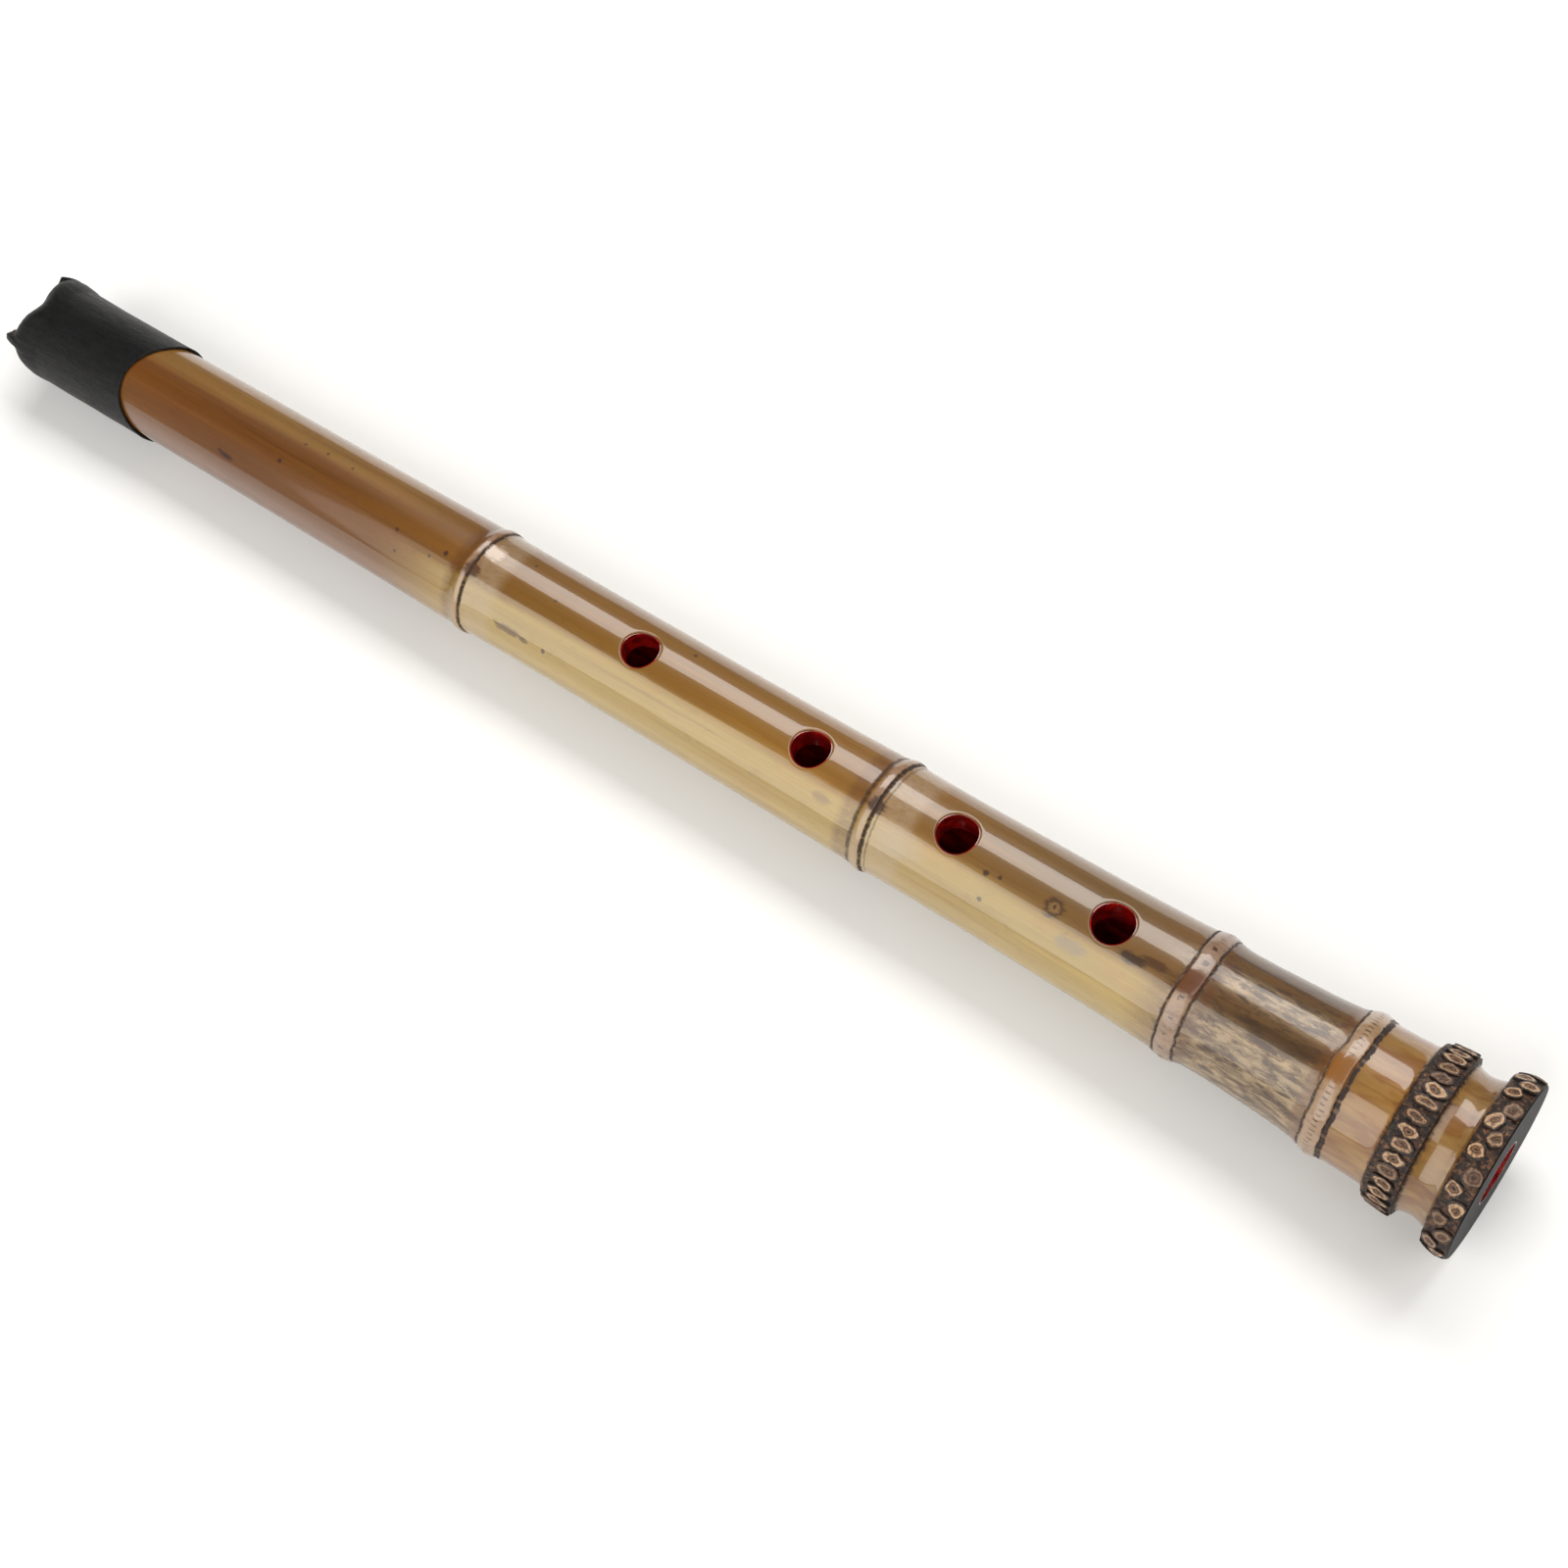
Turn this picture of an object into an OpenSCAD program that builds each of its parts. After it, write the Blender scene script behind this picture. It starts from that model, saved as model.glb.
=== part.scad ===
/* [Flute] */
// Length of the flute from the root end to the mouth end
flute_length = 545; // [520:1:600]
// Radius of the culm at the mouth end
mouth_r = 16.1; // [15.5:0.1:17]
// Width of the bevel round the mouth end
mouth_bevel = 1.2; // [0.6:0.1:1.6]

/* [Nodes of the culm] */
// Distance of the first node from the root end, the one nearest the mouth
node_1_at = 354; // [330:1:375]
// Distance of the second node from the root end
node_2_at = 199; // [190:1:208]
// Distance of the third node from the root end
node_3_at = 93; // [88:1:98]
// Distance of the fourth node from the root end
node_4_at = 46; // [43:0.5:49]
// Radius of the culm beside the first node
shoulder_1_r = 17.2; // [16.5:0.1:18]
// Radius of the culm beside the second node
shoulder_2_r = 17.75; // [17:0.05:18.5]
// Radius of the culm beside the third node
shoulder_3_r = 19.3; // [18.5:0.1:20]
// Radius of the culm beside the fourth node
shoulder_4_r = 21.5; // [21:0.1:22.5]
// Height of the ridge that runs round each node
ridge_h = 0.75; // [0.4:0.05:1.2]
// Width of the ridge on the two nodes near the mouth
slim_ridge_w = 7; // [5:0.5:9]
// Width of the ridge on the two nodes near the root
broad_ridge_w = 12; // [9:0.5:14]
// Depth of the sheath scar, the fine groove round each node
scar_d = 0.3; // [0.15:0.05:0.45]
// Width of the sheath scar
scar_w = 1; // [0.6:0.1:1.4]
// How far the culm narrows between the mouth and the first node
waist_a = 0.25; // [0:0.05:0.5]
// How far the culm narrows between the first and second nodes
waist_b = 0.45; // [0:0.05:0.8]
// How far the culm narrows between the second and third nodes
waist_c = 0.7; // [0:0.05:1.1]
// How far the culm narrows between the third and fourth nodes
waist_d = 1.3; // [0.6:0.05:1.8]
// How far the culm narrows between the fourth node and the root collar
waist_e = 0.4; // [0:0.05:0.8]

/* [Root end] */
// Largest radius of the end rim, without its rootlets
rim_r = 27.4; // [26.5:0.1:28.5]
// Width of the end rim along the flute
rim_w = 8.4; // [7.5:0.1:9]
// Radius of the neck between the end rim and the root collar
neck_r = 21.6; // [20.5:0.1:22.5]
// Largest radius of the root collar
collar_r = 25; // [24:0.1:26]
// Distance from the root end to the near side of the root collar
collar_at = 18.4; // [17.5:0.1:19]
// Width of the root collar along the flute
collar_w = 9.4; // [8.5:0.1:10]
// Number of trimmed rootlets round the root collar
collar_rootlets = 36; // [28:1:38]
// Width of a rootlet on the root collar
collar_rootlet_w = 3.2; // [2.6:0.1:3.4]
// Number of trimmed rootlets in each of the two rows round the end rim
rim_rootlets = 16; // [12:1:18]
// Diameter of a rootlet on the end rim
rim_rootlet_d = 5; // [4:0.1:5.4]
// Height of a trimmed rootlet above the root collar
rootlet_h = 0.5; // [0.3:0.05:0.8]
// Height of a trimmed rootlet above the end rim
rim_rootlet_h = 0.35; // [0.2:0.05:0.6]
// Diameter of the pith hole in a rootlet
pith_d = 1.1; // [0.8:0.1:1.4]

/* [Finger holes] */
// Distance of the first finger hole from the root end
hole_1_at = 120.5; // [115:0.5:125]
// Distance of the second finger hole from the root end
hole_2_at = 173; // [168:0.5:177]
// Distance of the third finger hole from the root end
hole_3_at = 225; // [220:0.5:230]
// Distance of the fourth finger hole from the root end
hole_4_at = 289; // [283:0.5:294]
// Distance of the thumb hole from the root end, on the back
thumb_at = 323; // [318:0.5:330]
// Diameter of the first finger hole
hole_1_d = 12.6; // [10:0.1:13.5]
// Diameter of the second finger hole
hole_2_d = 12.4; // [10:0.1:13.5]
// Diameter of the third finger hole
hole_3_d = 12; // [10:0.1:13.5]
// Diameter of the fourth finger hole
hole_4_d = 11.8; // [10:0.1:13.5]
// Diameter of the thumb hole
thumb_d = 10.6; // [9:0.1:12]
// Bevel round the outer edge of each hole
hole_bevel = 0.6; // [0.3:0.1:0.9]

/* [Bore] */
// Radius of the finished bore at the mouth end
bore_mouth_r = 10; // [9.4:0.1:10.3]
// Radius of the finished bore at its narrowest
bore_choke_r = 8.4; // [7.8:0.1:8.8]
// Distance of the narrowest place from the root end
bore_choke_at = 78; // [65:1:85]
// Radius of the finished bore at the root end
bore_root_r = 9.5; // [9:0.1:10]
// Length of the straight bore at the root end
bore_root_l = 22; // [18:0.5:28]
// How far the bore swells beyond a straight cone between the mouth and its narrowest
bore_swell = 0.1; // [0:0.02:0.2]
// Radius of the hollow of the bamboo between the mouth and the first node
hollow_a_r = 11.4; // [11.2:0.1:12]
// Radius of the hollow of the bamboo between the first and second nodes
hollow_b_r = 11; // [10.8:0.1:11.6]
// Radius of the hollow of the bamboo between the second and third nodes
hollow_c_r = 10.4; // [10.2:0.1:11]
// How far each hollow of the bamboo narrows towards its nodes
hollow_pinch = 0.2; // [0.1:0.05:0.3]
// Thickness of what is left of each partition inside a node
partition_t = 4; // [2.5:0.5:6]
// Depth of filler paste over each partition
partition_cover = 0.5; // [0.3:0.1:0.7]
// Thickness of the red lacquer in the bore and the holes
lacquer_t = 0.3; // [0.2:0.05:0.4]
// Thickness of the black lacquer on the root end
end_lacquer_t = 0.4; // [0.3:0.05:0.6]

/* [Blowing edge] */
// Angle between the slanting cut at the mouth and the axis of the flute
cut_angle = 30; // [26:1:34]
// Depth of the blowing edge below the mouth end
edge_drop = 4.3; // [3:0.1:5]
// Width of the horn inlay at the mouth end
inlay_w = 11; // [9:0.5:13]
// Width of the horn inlay at its lower end
inlay_foot_w = 8; // [6:0.5:9]
// How far the horn inlay stops short of the foot of the slanting cut
inlay_margin = 4.2; // [3:0.2:6]
// Thickness of the horn inlay
inlay_t = 1.6; // [1.2:0.1:2]

/* [Cap] */
// Gap between the culm and the inside of the cap
cap_gap = 0.3; // [0.25:0.05:0.5]
// Thickness of the leather
leather_t = 0.8; // [0.7:0.05:1.1]
// Length of flute that the cap covers
cap_cover = 49.5; // [44:0.5:56]
// How far the closed end of the cap stands beyond the mouth end
cap_beyond = 12; // [11:0.5:15]
// Depth of the scoop in the open edge
scoop_d = 7.6; // [4:0.2:9]
// Turn of the scoop round the flute, from the side of the finger holes
scoop_turn = -32; // [-60:1:60]
// Length from the tip of a fold to the middle of the closed end
fold_l = 15.2; // [13.5:0.1:16]
// How far the folds swell beyond the sleeve
fold_swell = 1; // [0.4:0.1:1.4]
// Turn of the folds round the flute, from the side of the finger holes
fold_turn = 60; // [40:1:80]
// Depth of the closed seam at the end of the cap
seam_d = 3.5; // [3:0.1:4.5]

/* [Stitches] */
// Diameter of the thread
thread_d = 0.6; // [0.4:0.05:0.8]
// Stitches along each fold of the closed end
fold_stitches = 4; // [3:1:5]
// Depth of the needle holes below the closed end
stitch_depth = 2.8; // [2.4:0.1:3.2]
// Height of a stitch above the closed end
stitch_proud = 0.6; // [0.4:0.05:0.9]
// Spacing of the stitches along the seam of the sleeve
seam_pitch = 3.5; // [3:0.1:5]
// Length of a stitch across the seam of the sleeve
seam_stitch_l = 3.6; // [3:0.1:4.5]

/* [Hidden] */
$fn = 96;

// Colours
bamboo_colour = [0.66, 0.50, 0.29];
filler_colour = [0.72, 0.62, 0.47];
red_colour = [0.48, 0.05, 0.03];
black_colour = [0.05, 0.04, 0.04];
horn_colour = [0.13, 0.10, 0.08];
leather_colour = [0.12, 0.12, 0.13];
thread_colour = [0.72, 0.68, 0.60];

// Cutters run past what they cut by this much
past = 2;

// The flute is drawn upright, with the root end at zero, the axis along Z and the
// finger holes towards +X, and is then laid down along X with the finger holes up
closed_end = flute_length + cap_beyond;
all_length = closed_end + stitch_proud;

function mix(a, b, t) = a + (b - a) * t;
function swell(x) = abs(x) < 1 ? (1 + cos(180 * x)) / 2 : 0;

// Outline of the culm above the root collar
collar_end = collar_at + collar_w;
foot_gap = 1;
foot_flare = 0.1;
foot_at = collar_end + foot_gap;
foot_r = mix(shoulder_4_r, collar_r, foot_flare);
nodes_at = [node_1_at, node_2_at, node_3_at, node_4_at];
ridges_w = [slim_ridge_w, slim_ridge_w, broad_ridge_w, broad_ridge_w];

// Radius at a distance s along one internode, from the ends' radii and the waist
function span_r(s, s0, r0, s1, r1, waist) =
    let (t = (s - s0) / (s1 - s0))
    mix(r0, r1, t) - waist * (1 - pow(2 * t - 1, 4));
function internode_r(s) =
    s > node_1_at ? span_r(s, node_1_at, shoulder_1_r, flute_length, mouth_r, waist_a)
    : s > node_2_at ? span_r(s, node_2_at, shoulder_2_r, node_1_at, shoulder_1_r, waist_b)
    : s > node_3_at ? span_r(s, node_3_at, shoulder_3_r, node_2_at, shoulder_2_r, waist_c)
    : s > node_4_at ? span_r(s, node_4_at, shoulder_4_r, node_3_at, shoulder_3_r, waist_d)
    : span_r(s, foot_at, foot_r, node_4_at, shoulder_4_r, waist_e);

// The scar lies on the root side of the ridge, and broad ridges have a second one
scar_share = 0.25;
function scar_depth(s, at) = scar_d * max(0, 1 - abs(s - at) / (scar_w / 2));
function node_rise(s, i) =
    ridge_h * swell((s - nodes_at[i]) / (ridges_w[i] / 2))
    - scar_depth(s, nodes_at[i] - scar_share * ridges_w[i])
    - (i > 1 ? scar_depth(s, nodes_at[i] + scar_share * ridges_w[i]) : 0);
function culm_r(s) = internode_r(s) + node_rise(s, 0) + node_rise(s, 1)
    + node_rise(s, 2) + node_rise(s, 3);

// Stations across one node, with three at each scar, and along one internode
ridge_marks = [-1, -0.75, -0.3, -0.12, 0.12, 0.3, 0.75, 1];
function scar_marks(at, side, w) = [for (k = [-1 : 1]) at + side * scar_share * w + k * scar_w / 2];
function node_stations(i) = let (at = nodes_at[i], w = ridges_w[i])
    concat([for (m = ridge_marks) if (m < -0.6) at + m * w / 2],
           scar_marks(at, -1, w),
           [for (m = ridge_marks) if (abs(m) < 0.32) at + m * w / 2],
           i > 1 ? scar_marks(at, 1, w) : [at + 0.5 * w / 2],
           [for (m = ridge_marks) if (m > 0.6) at + m * w / 2]);
function internode_stations(s0, s1, steps) = [for (k = [1 : steps - 1]) mix(s0, s1, k / steps)];
stations = concat(
    [foot_at],
    internode_stations(foot_at, node_4_at - broad_ridge_w / 2, 3), node_stations(3),
    internode_stations(node_4_at + broad_ridge_w / 2, node_3_at - broad_ridge_w / 2, 8),
    node_stations(2),
    internode_stations(node_3_at + broad_ridge_w / 2, node_2_at - slim_ridge_w / 2, 10),
    node_stations(1),
    internode_stations(node_2_at + slim_ridge_w / 2, node_1_at - slim_ridge_w / 2, 12),
    node_stations(0),
    internode_stations(node_1_at + slim_ridge_w / 2, flute_length - mouth_bevel, 12));

// Outline of the root end: a crowned rim and a crowned collar, each a little narrower
// on the side of the mouth, and a hollowed neck that rises towards both
rim_edge = 0.4;
rim_crown = 0.75;
rim_taper = 1.5;
collar_taper = 1.2;
collar_crown = 0.3;
rim_gap = 1;
collar_gap = 0.4;
neck_rise = 1.2;
crown_steps = 5;
neck_steps = 6;
rim_top_r = rim_r - rim_taper;
collar_top_r = collar_r - collar_taper;
neck_from = rim_w + rim_gap;
neck_to = collar_at - collar_gap;
function crown_points(s0, r0, s1, r1, crown) = [for (k = [0 : crown_steps])
    let (t = k / crown_steps) [mix(r0, r1, t) + crown * 4 * t * (1 - t), mix(s0, s1, t)]];
neck_points = [for (k = [0 : neck_steps])
    let (t = k / neck_steps) [neck_r + neck_rise * pow(2 * t - 1, 2), mix(neck_from, neck_to, t)]];
function rim_surface_r(s) = let (t = (s - end_lacquer_t) / (rim_w - end_lacquer_t))
    mix(rim_r - rim_edge, rim_top_r, t) + rim_crown * 4 * t * (1 - t);
function collar_surface_r(s) = let (t = (s - collar_at) / collar_w)
    mix(collar_r - collar_crown, collar_top_r, t) + collar_crown * 4 * t * (1 - t);
// How far a rootlet reaches into the culm
rootlet_root = 1;
// Length of a rootlet on the collar, as a share of the collar's width
rootlet_share = 0.8;
// Two rows of rootlets on the end rim, each this far inside its edge, and the height of
// the axis over what the flute lies on, which is the lowest rootlet of the first row
row_inset = 0.1;
rim_rows_at = [end_lacquer_t + row_inset + rim_rootlet_d / 2, rim_w - row_inset - rim_rootlet_d / 2];
axis_h = rim_surface_r(rim_rows_at[0]) + rim_rootlet_h;
root_points = concat(
    crown_points(end_lacquer_t, rim_r - rim_edge, rim_w, rim_top_r, rim_crown),
    neck_points,
    crown_points(collar_at, collar_r - collar_crown, collar_end, collar_top_r, collar_crown));
outer_points = concat(
    root_points,
    [for (s = stations) [culm_r(s), s]],
    [[mouth_r, flute_length - mouth_bevel], [mouth_r - mouth_bevel, flute_length]]);

// Outline of the finished bore, and of the wood and the filler round it
function bore_r(s) = s < bore_choke_at
    ? mix(bore_root_r, bore_choke_r, max(0, s - bore_root_l) / (bore_choke_at - bore_root_l))
    : let (t = (s - bore_choke_at) / (flute_length - bore_choke_at))
      mix(bore_choke_r, bore_mouth_r, t) + bore_swell * 4 * t * (1 - t);
function drilled_r(s) = bore_r(s) + lacquer_t;
filler_from = node_3_at - partition_t;
// Its stations lie between the holes, and in even steps from the thumb hole to the mouth
bore_steps = 5;
holes_at = [hole_1_at, hole_2_at, hole_3_at, hole_4_at, thumb_at];
bore_stations = concat(
    [0, bore_root_l, bore_choke_at, filler_from],
    [for (k = [1 : len(holes_at) - 1]) (holes_at[k - 1] + holes_at[k]) / 2],
    [for (k = [0 : bore_steps]) mix(thumb_at + thumb_d, flute_length, k / bore_steps)]);
// Each hollow is widest at its middle, and a partition stands between two of them
partition_slope = 1.5;
partition_foot = partition_t / 2 + partition_slope;
function partition_points(at) = [for (side = [-1, 1])
    [drilled_r(at) + partition_cover, at + side * partition_t / 2]];
function hollow_span(s0, s1, r, steps) = [for (k = [0 : steps])
    let (t = k / steps) [r - hollow_pinch * pow(2 * t - 1, 4), mix(s0, s1, t)]];
hollow_points = concat(
    [[drilled_r(filler_from), filler_from]],
    partition_points(node_3_at),
    hollow_span(node_3_at + partition_foot, node_2_at - partition_foot, hollow_c_r, 4),
    partition_points(node_2_at),
    hollow_span(node_2_at + partition_foot, node_1_at - partition_foot, hollow_b_r, 5),
    partition_points(node_1_at),
    hollow_span(node_1_at + partition_foot, flute_length, hollow_a_r, 6));
function reversed(list) = [for (k = [len(list) - 1 : -1 : 0]) list[k]];

// Distance of the slanting cut from the axis at the mouth end, and length of the inlay
cut_x = bore_r(flute_length) - edge_drop * tan(cut_angle);
inlay_l = (mouth_r - cut_x) / sin(cut_angle) - inlay_margin;

// Places and sizes of the holes, with the side of the flute that each is on
holes = [[hole_1_at, hole_1_d, 1], [hole_2_at, hole_2_d, 1], [hole_3_at, hole_3_d, 1],
         [hole_4_at, hole_4_d, 1], [thumb_at, thumb_d, -1]];

// Sizes of the cap, from the widest part of the culm that it covers
cap_edge_at = flute_length - cap_cover;
covered_r = max([for (k = [0 : 8]) culm_r(mix(cap_edge_at, flute_length - mouth_bevel, k / 8))]);
cap_bore_r = covered_r + cap_gap;
cap_r = cap_bore_r + leather_t;
// The folds start this far below the mouth end, and the round sleeve laps over them
folds_lead = 4;
sleeve_lap = 2;
folds_from = flute_length - folds_lead;
sleeve_end = folds_from + sleeve_lap;
// The cutter of the scoop is a little wider than the cap
scoop_reach = 1.03;
scoop_half = cap_r * scoop_reach;
scoop_r = (pow(scoop_half, 2) + pow(scoop_d, 2)) / (2 * scoop_d);

// The closed end has three folds. A point of it is found from t, the share of its
// length, and from the angle to the nearest fold: it goes from the round sleeve to
// a star whose arms are two layers of leather thick
fold_count = 3;
fold_steps = 8;
fold_rings = 9;
// The points crowd towards the folds by this power of their share of the way round
crowding = 1.6;
// The leather closes late, by these powers of t, between the folds and along them
valley_power = 2.6;
arm_power = 5;
// Its bulge follows a sine up to this angle
bulge_turn = 150;
// How far the folds start within the sleeve, and how far their inside stands off it
fold_foot = leather_t * 0.4;
fold_lip = leather_t * 0.1;
// Half the thickness of an arm, and the leather on each side of its slit
fold_half = leather_t * 1.25;
fold_wall = leather_t * 0.75;
// The row of stitches stands off both ends of a fold by this share of their spacing
stitch_inset = 0.2;
// Angles and depths below this count as none
sliver = 0.01;
function fold_angles() = [for (k = [0 : fold_count - 1]) for (j = [1 - fold_steps : fold_steps])
    [360 / fold_count * k, 180 / fold_count * sign(j) * pow(abs(j) / fold_steps, crowding)]];
function closing(t, angle) = pow(t, valley_power + arm_power * pow(cos(angle * fold_count / 2), 2));
function arm_r(angle, arm, half) = abs(angle) < sliver ? arm : min(arm, half / sin(abs(angle)));
function fold_r(t, angle, round_r, arm, half) =
    mix(round_r, arm_r(angle, arm, half), closing(t, angle));
// Radius that the leather would have at s with no folds, outside and inside
function folds_outer_r(s) = cap_r - fold_foot
    + (fold_swell + fold_foot) * sin(bulge_turn * (s - folds_from) / (closed_end - folds_from));
function folds_inner_r(s) = max(cap_bore_r + fold_lip, folds_outer_r(s) - leather_t);

module culm() {
    color(bamboo_colour) laid_down() difference() {
        union() {
            rotate_extrude() polygon(concat(
                outer_points,
                reversed(hollow_points),
                [[drilled_r(bore_choke_at), bore_choke_at],
                 [drilled_r(bore_root_l), bore_root_l],
                 [drilled_r(0), end_lacquer_t]]));
            collar_rootlet_row();
            rim_rootlet_rows();
        }
        hole_drills(lacquer_t);
        hole_bevels();
        slanting_cut();
        inlay_block();
    }
}

module bore_filler() {
    color(filler_colour) laid_down() difference() {
        rotate_extrude() polygon(concat(
            hollow_points,
            reversed([for (s = bore_stations) if (s > filler_from) [drilled_r(s), s]])));
        hole_drills(lacquer_t);
        slanting_cut();
        inlay_block();
    }
}

module bore_lacquer() {
    color(red_colour) laid_down() difference() {
        union() {
            solid_of(lacquer_t, 0);
            for (h = holes) hole_lining(h[0], h[1], h[2]);
        }
        solid_of(0, past);
        hole_drills(0);
        slanting_cut();
        inlay_block();
    }
}

module root_end_lacquer() {
    color(black_colour) laid_down() rotate_extrude() polygon([
        [drilled_r(0), 0],
        [rim_r - rim_edge - end_lacquer_t, 0],
        [rim_r - rim_edge, end_lacquer_t],
        [drilled_r(0), end_lacquer_t]]);
}

module blowing_edge_inlay() {
    color(horn_colour) laid_down() inlay_block();
}

module cap_leather() {
    color(leather_colour) laid_down() union() {
        cap_sleeve();
        cap_folds();
    }
}

module cap_end_stitches() {
    spacing = fold_l / (fold_stitches + 2 * stitch_inset);
    color(thread_colour) laid_down()
        for (k = [0 : fold_count - 1]) for (j = [1 : fold_stitches])
            rotate(fold_turn + 360 / fold_count * k)
                translate([(j - stitch_inset) * spacing, 0, closed_end])
                    whip_stitch();
}

module cap_side_stitches() {
    first = cap_edge_at + seam_pitch;
    color(thread_colour) laid_down()
        for (s = [first : seam_pitch : sleeve_end - seam_pitch])
            translate([-cap_r, 0, s]) cross_stitch();
}

// Lays the upright flute down, centred along X and resting on its end rim
module laid_down() {
    translate([all_length / 2, 0, axis_h]) rotate([0, -90, 0]) children();
}

// The bore, made wider by grow and longer by extra at each end
module solid_of(grow, extra) {
    rotate_extrude() polygon(concat(
        [[0, -extra], [bore_root_r + grow, -extra]],
        [for (s = bore_stations) [bore_r(s) + grow, s]],
        [[bore_mouth_r + grow, flute_length + extra], [0, flute_length + extra]]));
}

// A drill runs from the axis to beyond the outside of the culm
function drill_l(at) = culm_r(at) + past;

module hole_drills(grow) {
    for (h = holes)
        translate([0, 0, h[0]]) rotate([0, h[2] * 90, 0])
            cylinder(r = h[1] / 2 + grow, h = drill_l(h[0]));
}

module hole_bevels() {
    for (h = holes) {
        top = culm_r(h[0]);
        hole_r = h[1] / 2 + lacquer_t;
        translate([0, 0, h[0]]) rotate([0, h[2] * 90, 0]) translate([0, 0, top - hole_bevel])
            cylinder(r1 = hole_r, r2 = hole_r + hole_bevel + past, h = hole_bevel + past);
    }
}

module hole_lining(at, d, side) {
    reach = culm_r(at) - hole_bevel;
    intersection() {
        translate([0, 0, at]) rotate([0, side * 90, 0])
            cylinder(r = d / 2 + lacquer_t, h = drill_l(at));
        translate([0, 0, at - d]) cylinder(r = reach, h = 2 * d);
    }
}

// Turns and moves a piece so that its YZ plane lies in the slanting cut
module on_cut() {
    translate([cut_x, 0, flute_length]) rotate([0, -cut_angle, 0]) children();
}

module slanting_cut() {
    on_cut() translate([0, -mouth_r - past, -4 * mouth_r])
        cube([2 * mouth_r, 2 * (mouth_r + past), 5 * mouth_r]);
}

module inlay_block() {
    difference() {
        intersection() {
            on_cut() rotate([0, -90, 0]) linear_extrude(inlay_t) polygon([
                [past, inlay_w / 2], [-inlay_l, inlay_foot_w / 2],
                [-inlay_l, -inlay_foot_w / 2], [past, -inlay_w / 2]]);
            translate([0, 0, flute_length - mouth_r * 2]) cylinder(r = mouth_r, h = mouth_r * 2);
        }
        solid_of(0, past);
    }
}

// A flat-ended stub with a pith hole, its outer end h beyond the point x on X
module rootlet(w, l, x, h) {
    translate([x - rootlet_root, 0, 0]) rotate([0, 90, 0]) linear_extrude(rootlet_root + h)
    difference() {
        union() {
            for (side = l > w ? [-1, 1] : [0]) translate([side * (l - w) / 2, 0]) circle(d = w);
            if (l > w) translate([-(l - w) / 2, -w / 2]) square([l - w, w]);
        }
        circle(d = pith_d);
    }
}

module collar_rootlet_row() {
    at = collar_at + collar_w / 2;
    for (k = [0 : collar_rootlets - 1])
        rotate(360 / collar_rootlets * (k + 0.5))
            translate([0, 0, at])
                rootlet(collar_rootlet_w, collar_w * rootlet_share, collar_surface_r(at), rootlet_h);
}

module rim_rootlet_rows() {
    for (row = [0, 1]) for (k = [0 : rim_rootlets - 1])
        rotate(180 + 360 / rim_rootlets * (k + row / 2))
            translate([0, 0, rim_rows_at[row]])
                rootlet(rim_rootlet_d, rim_rootlet_d, rim_surface_r(rim_rows_at[row]),
                        rim_rootlet_h);
}

module cap_sleeve() {
    difference() {
        translate([0, 0, cap_edge_at]) cylinder(r = cap_r, h = sleeve_end - cap_edge_at);
        translate([0, 0, cap_edge_at - past])
            cylinder(r = cap_bore_r, h = sleeve_end - cap_edge_at + 2 * past);
        rotate(scoop_turn) translate([0, 0, cap_edge_at + scoop_d - scoop_r])
            rotate([0, 90, 0]) cylinder(r = scoop_r, h = cap_r + past);
    }
}

module cap_folds() {
    difference() {
        fold_solid(folds_from, closed_end, fold_l, fold_half, false);
        fold_solid(folds_from - sliver, closed_end - seam_d, fold_l - leather_t,
                   fold_half - fold_wall, true);
    }
}

module fold_solid(from, to, arm, half, inside) {
    angles = fold_angles();
    around = len(angles);
    points = [for (i = [0 : fold_rings]) for (a = angles)
        let (t = i / fold_rings,
             s = mix(from, to, t),
             r = fold_r(t, a[1], inside ? folds_inner_r(s) : folds_outer_r(s), arm, half),
             angle = a[0] + a[1] + fold_turn)
        [r * cos(angle), r * sin(angle), s]];
    sides = [for (i = [0 : fold_rings - 1]) for (j = [0 : around - 1])
        let (a = i * around + j, b = i * around + (j + 1) % around)
        each [[a, a + around, b], [b, a + around, b + around]]];
    ends = [[for (j = [0 : around - 1]) j],
            [for (j = [around - 1 : -1 : 0]) fold_rings * around + j]];
    polyhedron(points, concat(sides, ends));
}

// A loop of thread over the closed end: two straight sides joined by half rings
module whip_stitch() {
    loop_r = fold_half + thread_d / 2;
    top = stitch_proud - loop_r - thread_d / 2;
    foot = loop_r - stitch_depth;
    for (side = [-1, 1])
        translate([0, side * loop_r, foot]) cylinder(d = thread_d, h = top - foot);
    translate([0, 0, top]) rotate([90, 0, 90])
        rotate_extrude(angle = 180) translate([loop_r, 0]) circle(d = thread_d);
    translate([0, 0, foot]) rotate([-90, 0, 90])
        rotate_extrude(angle = 180) translate([loop_r, 0]) circle(d = thread_d);
}

// A round-ended stitch across the seam of the sleeve
module cross_stitch() {
    reach = (seam_stitch_l - thread_d) / 2;
    rotate([90, 0, 0]) translate([0, 0, -reach]) cylinder(d = thread_d, h = 2 * reach);
    for (side = [-1, 1]) translate([0, side * reach, 0]) sphere(d = thread_d);
}

culm();
bore_filler();
bore_lacquer();
root_end_lacquer();
blowing_edge_inlay();
cap_leather();
cap_end_stitches();
cap_side_stitches();
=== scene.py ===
"""Looks of a bamboo flute with its leather cap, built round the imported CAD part."""

import logging
import math
from dataclasses import dataclass, field, replace
from enum import Enum
from typing import Any, Callable, Iterable

import bmesh
import bpy
from bmesh.types import BMEdge, BMesh, BMFace, BMVert
from mathutils import Matrix, Vector, noise


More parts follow.
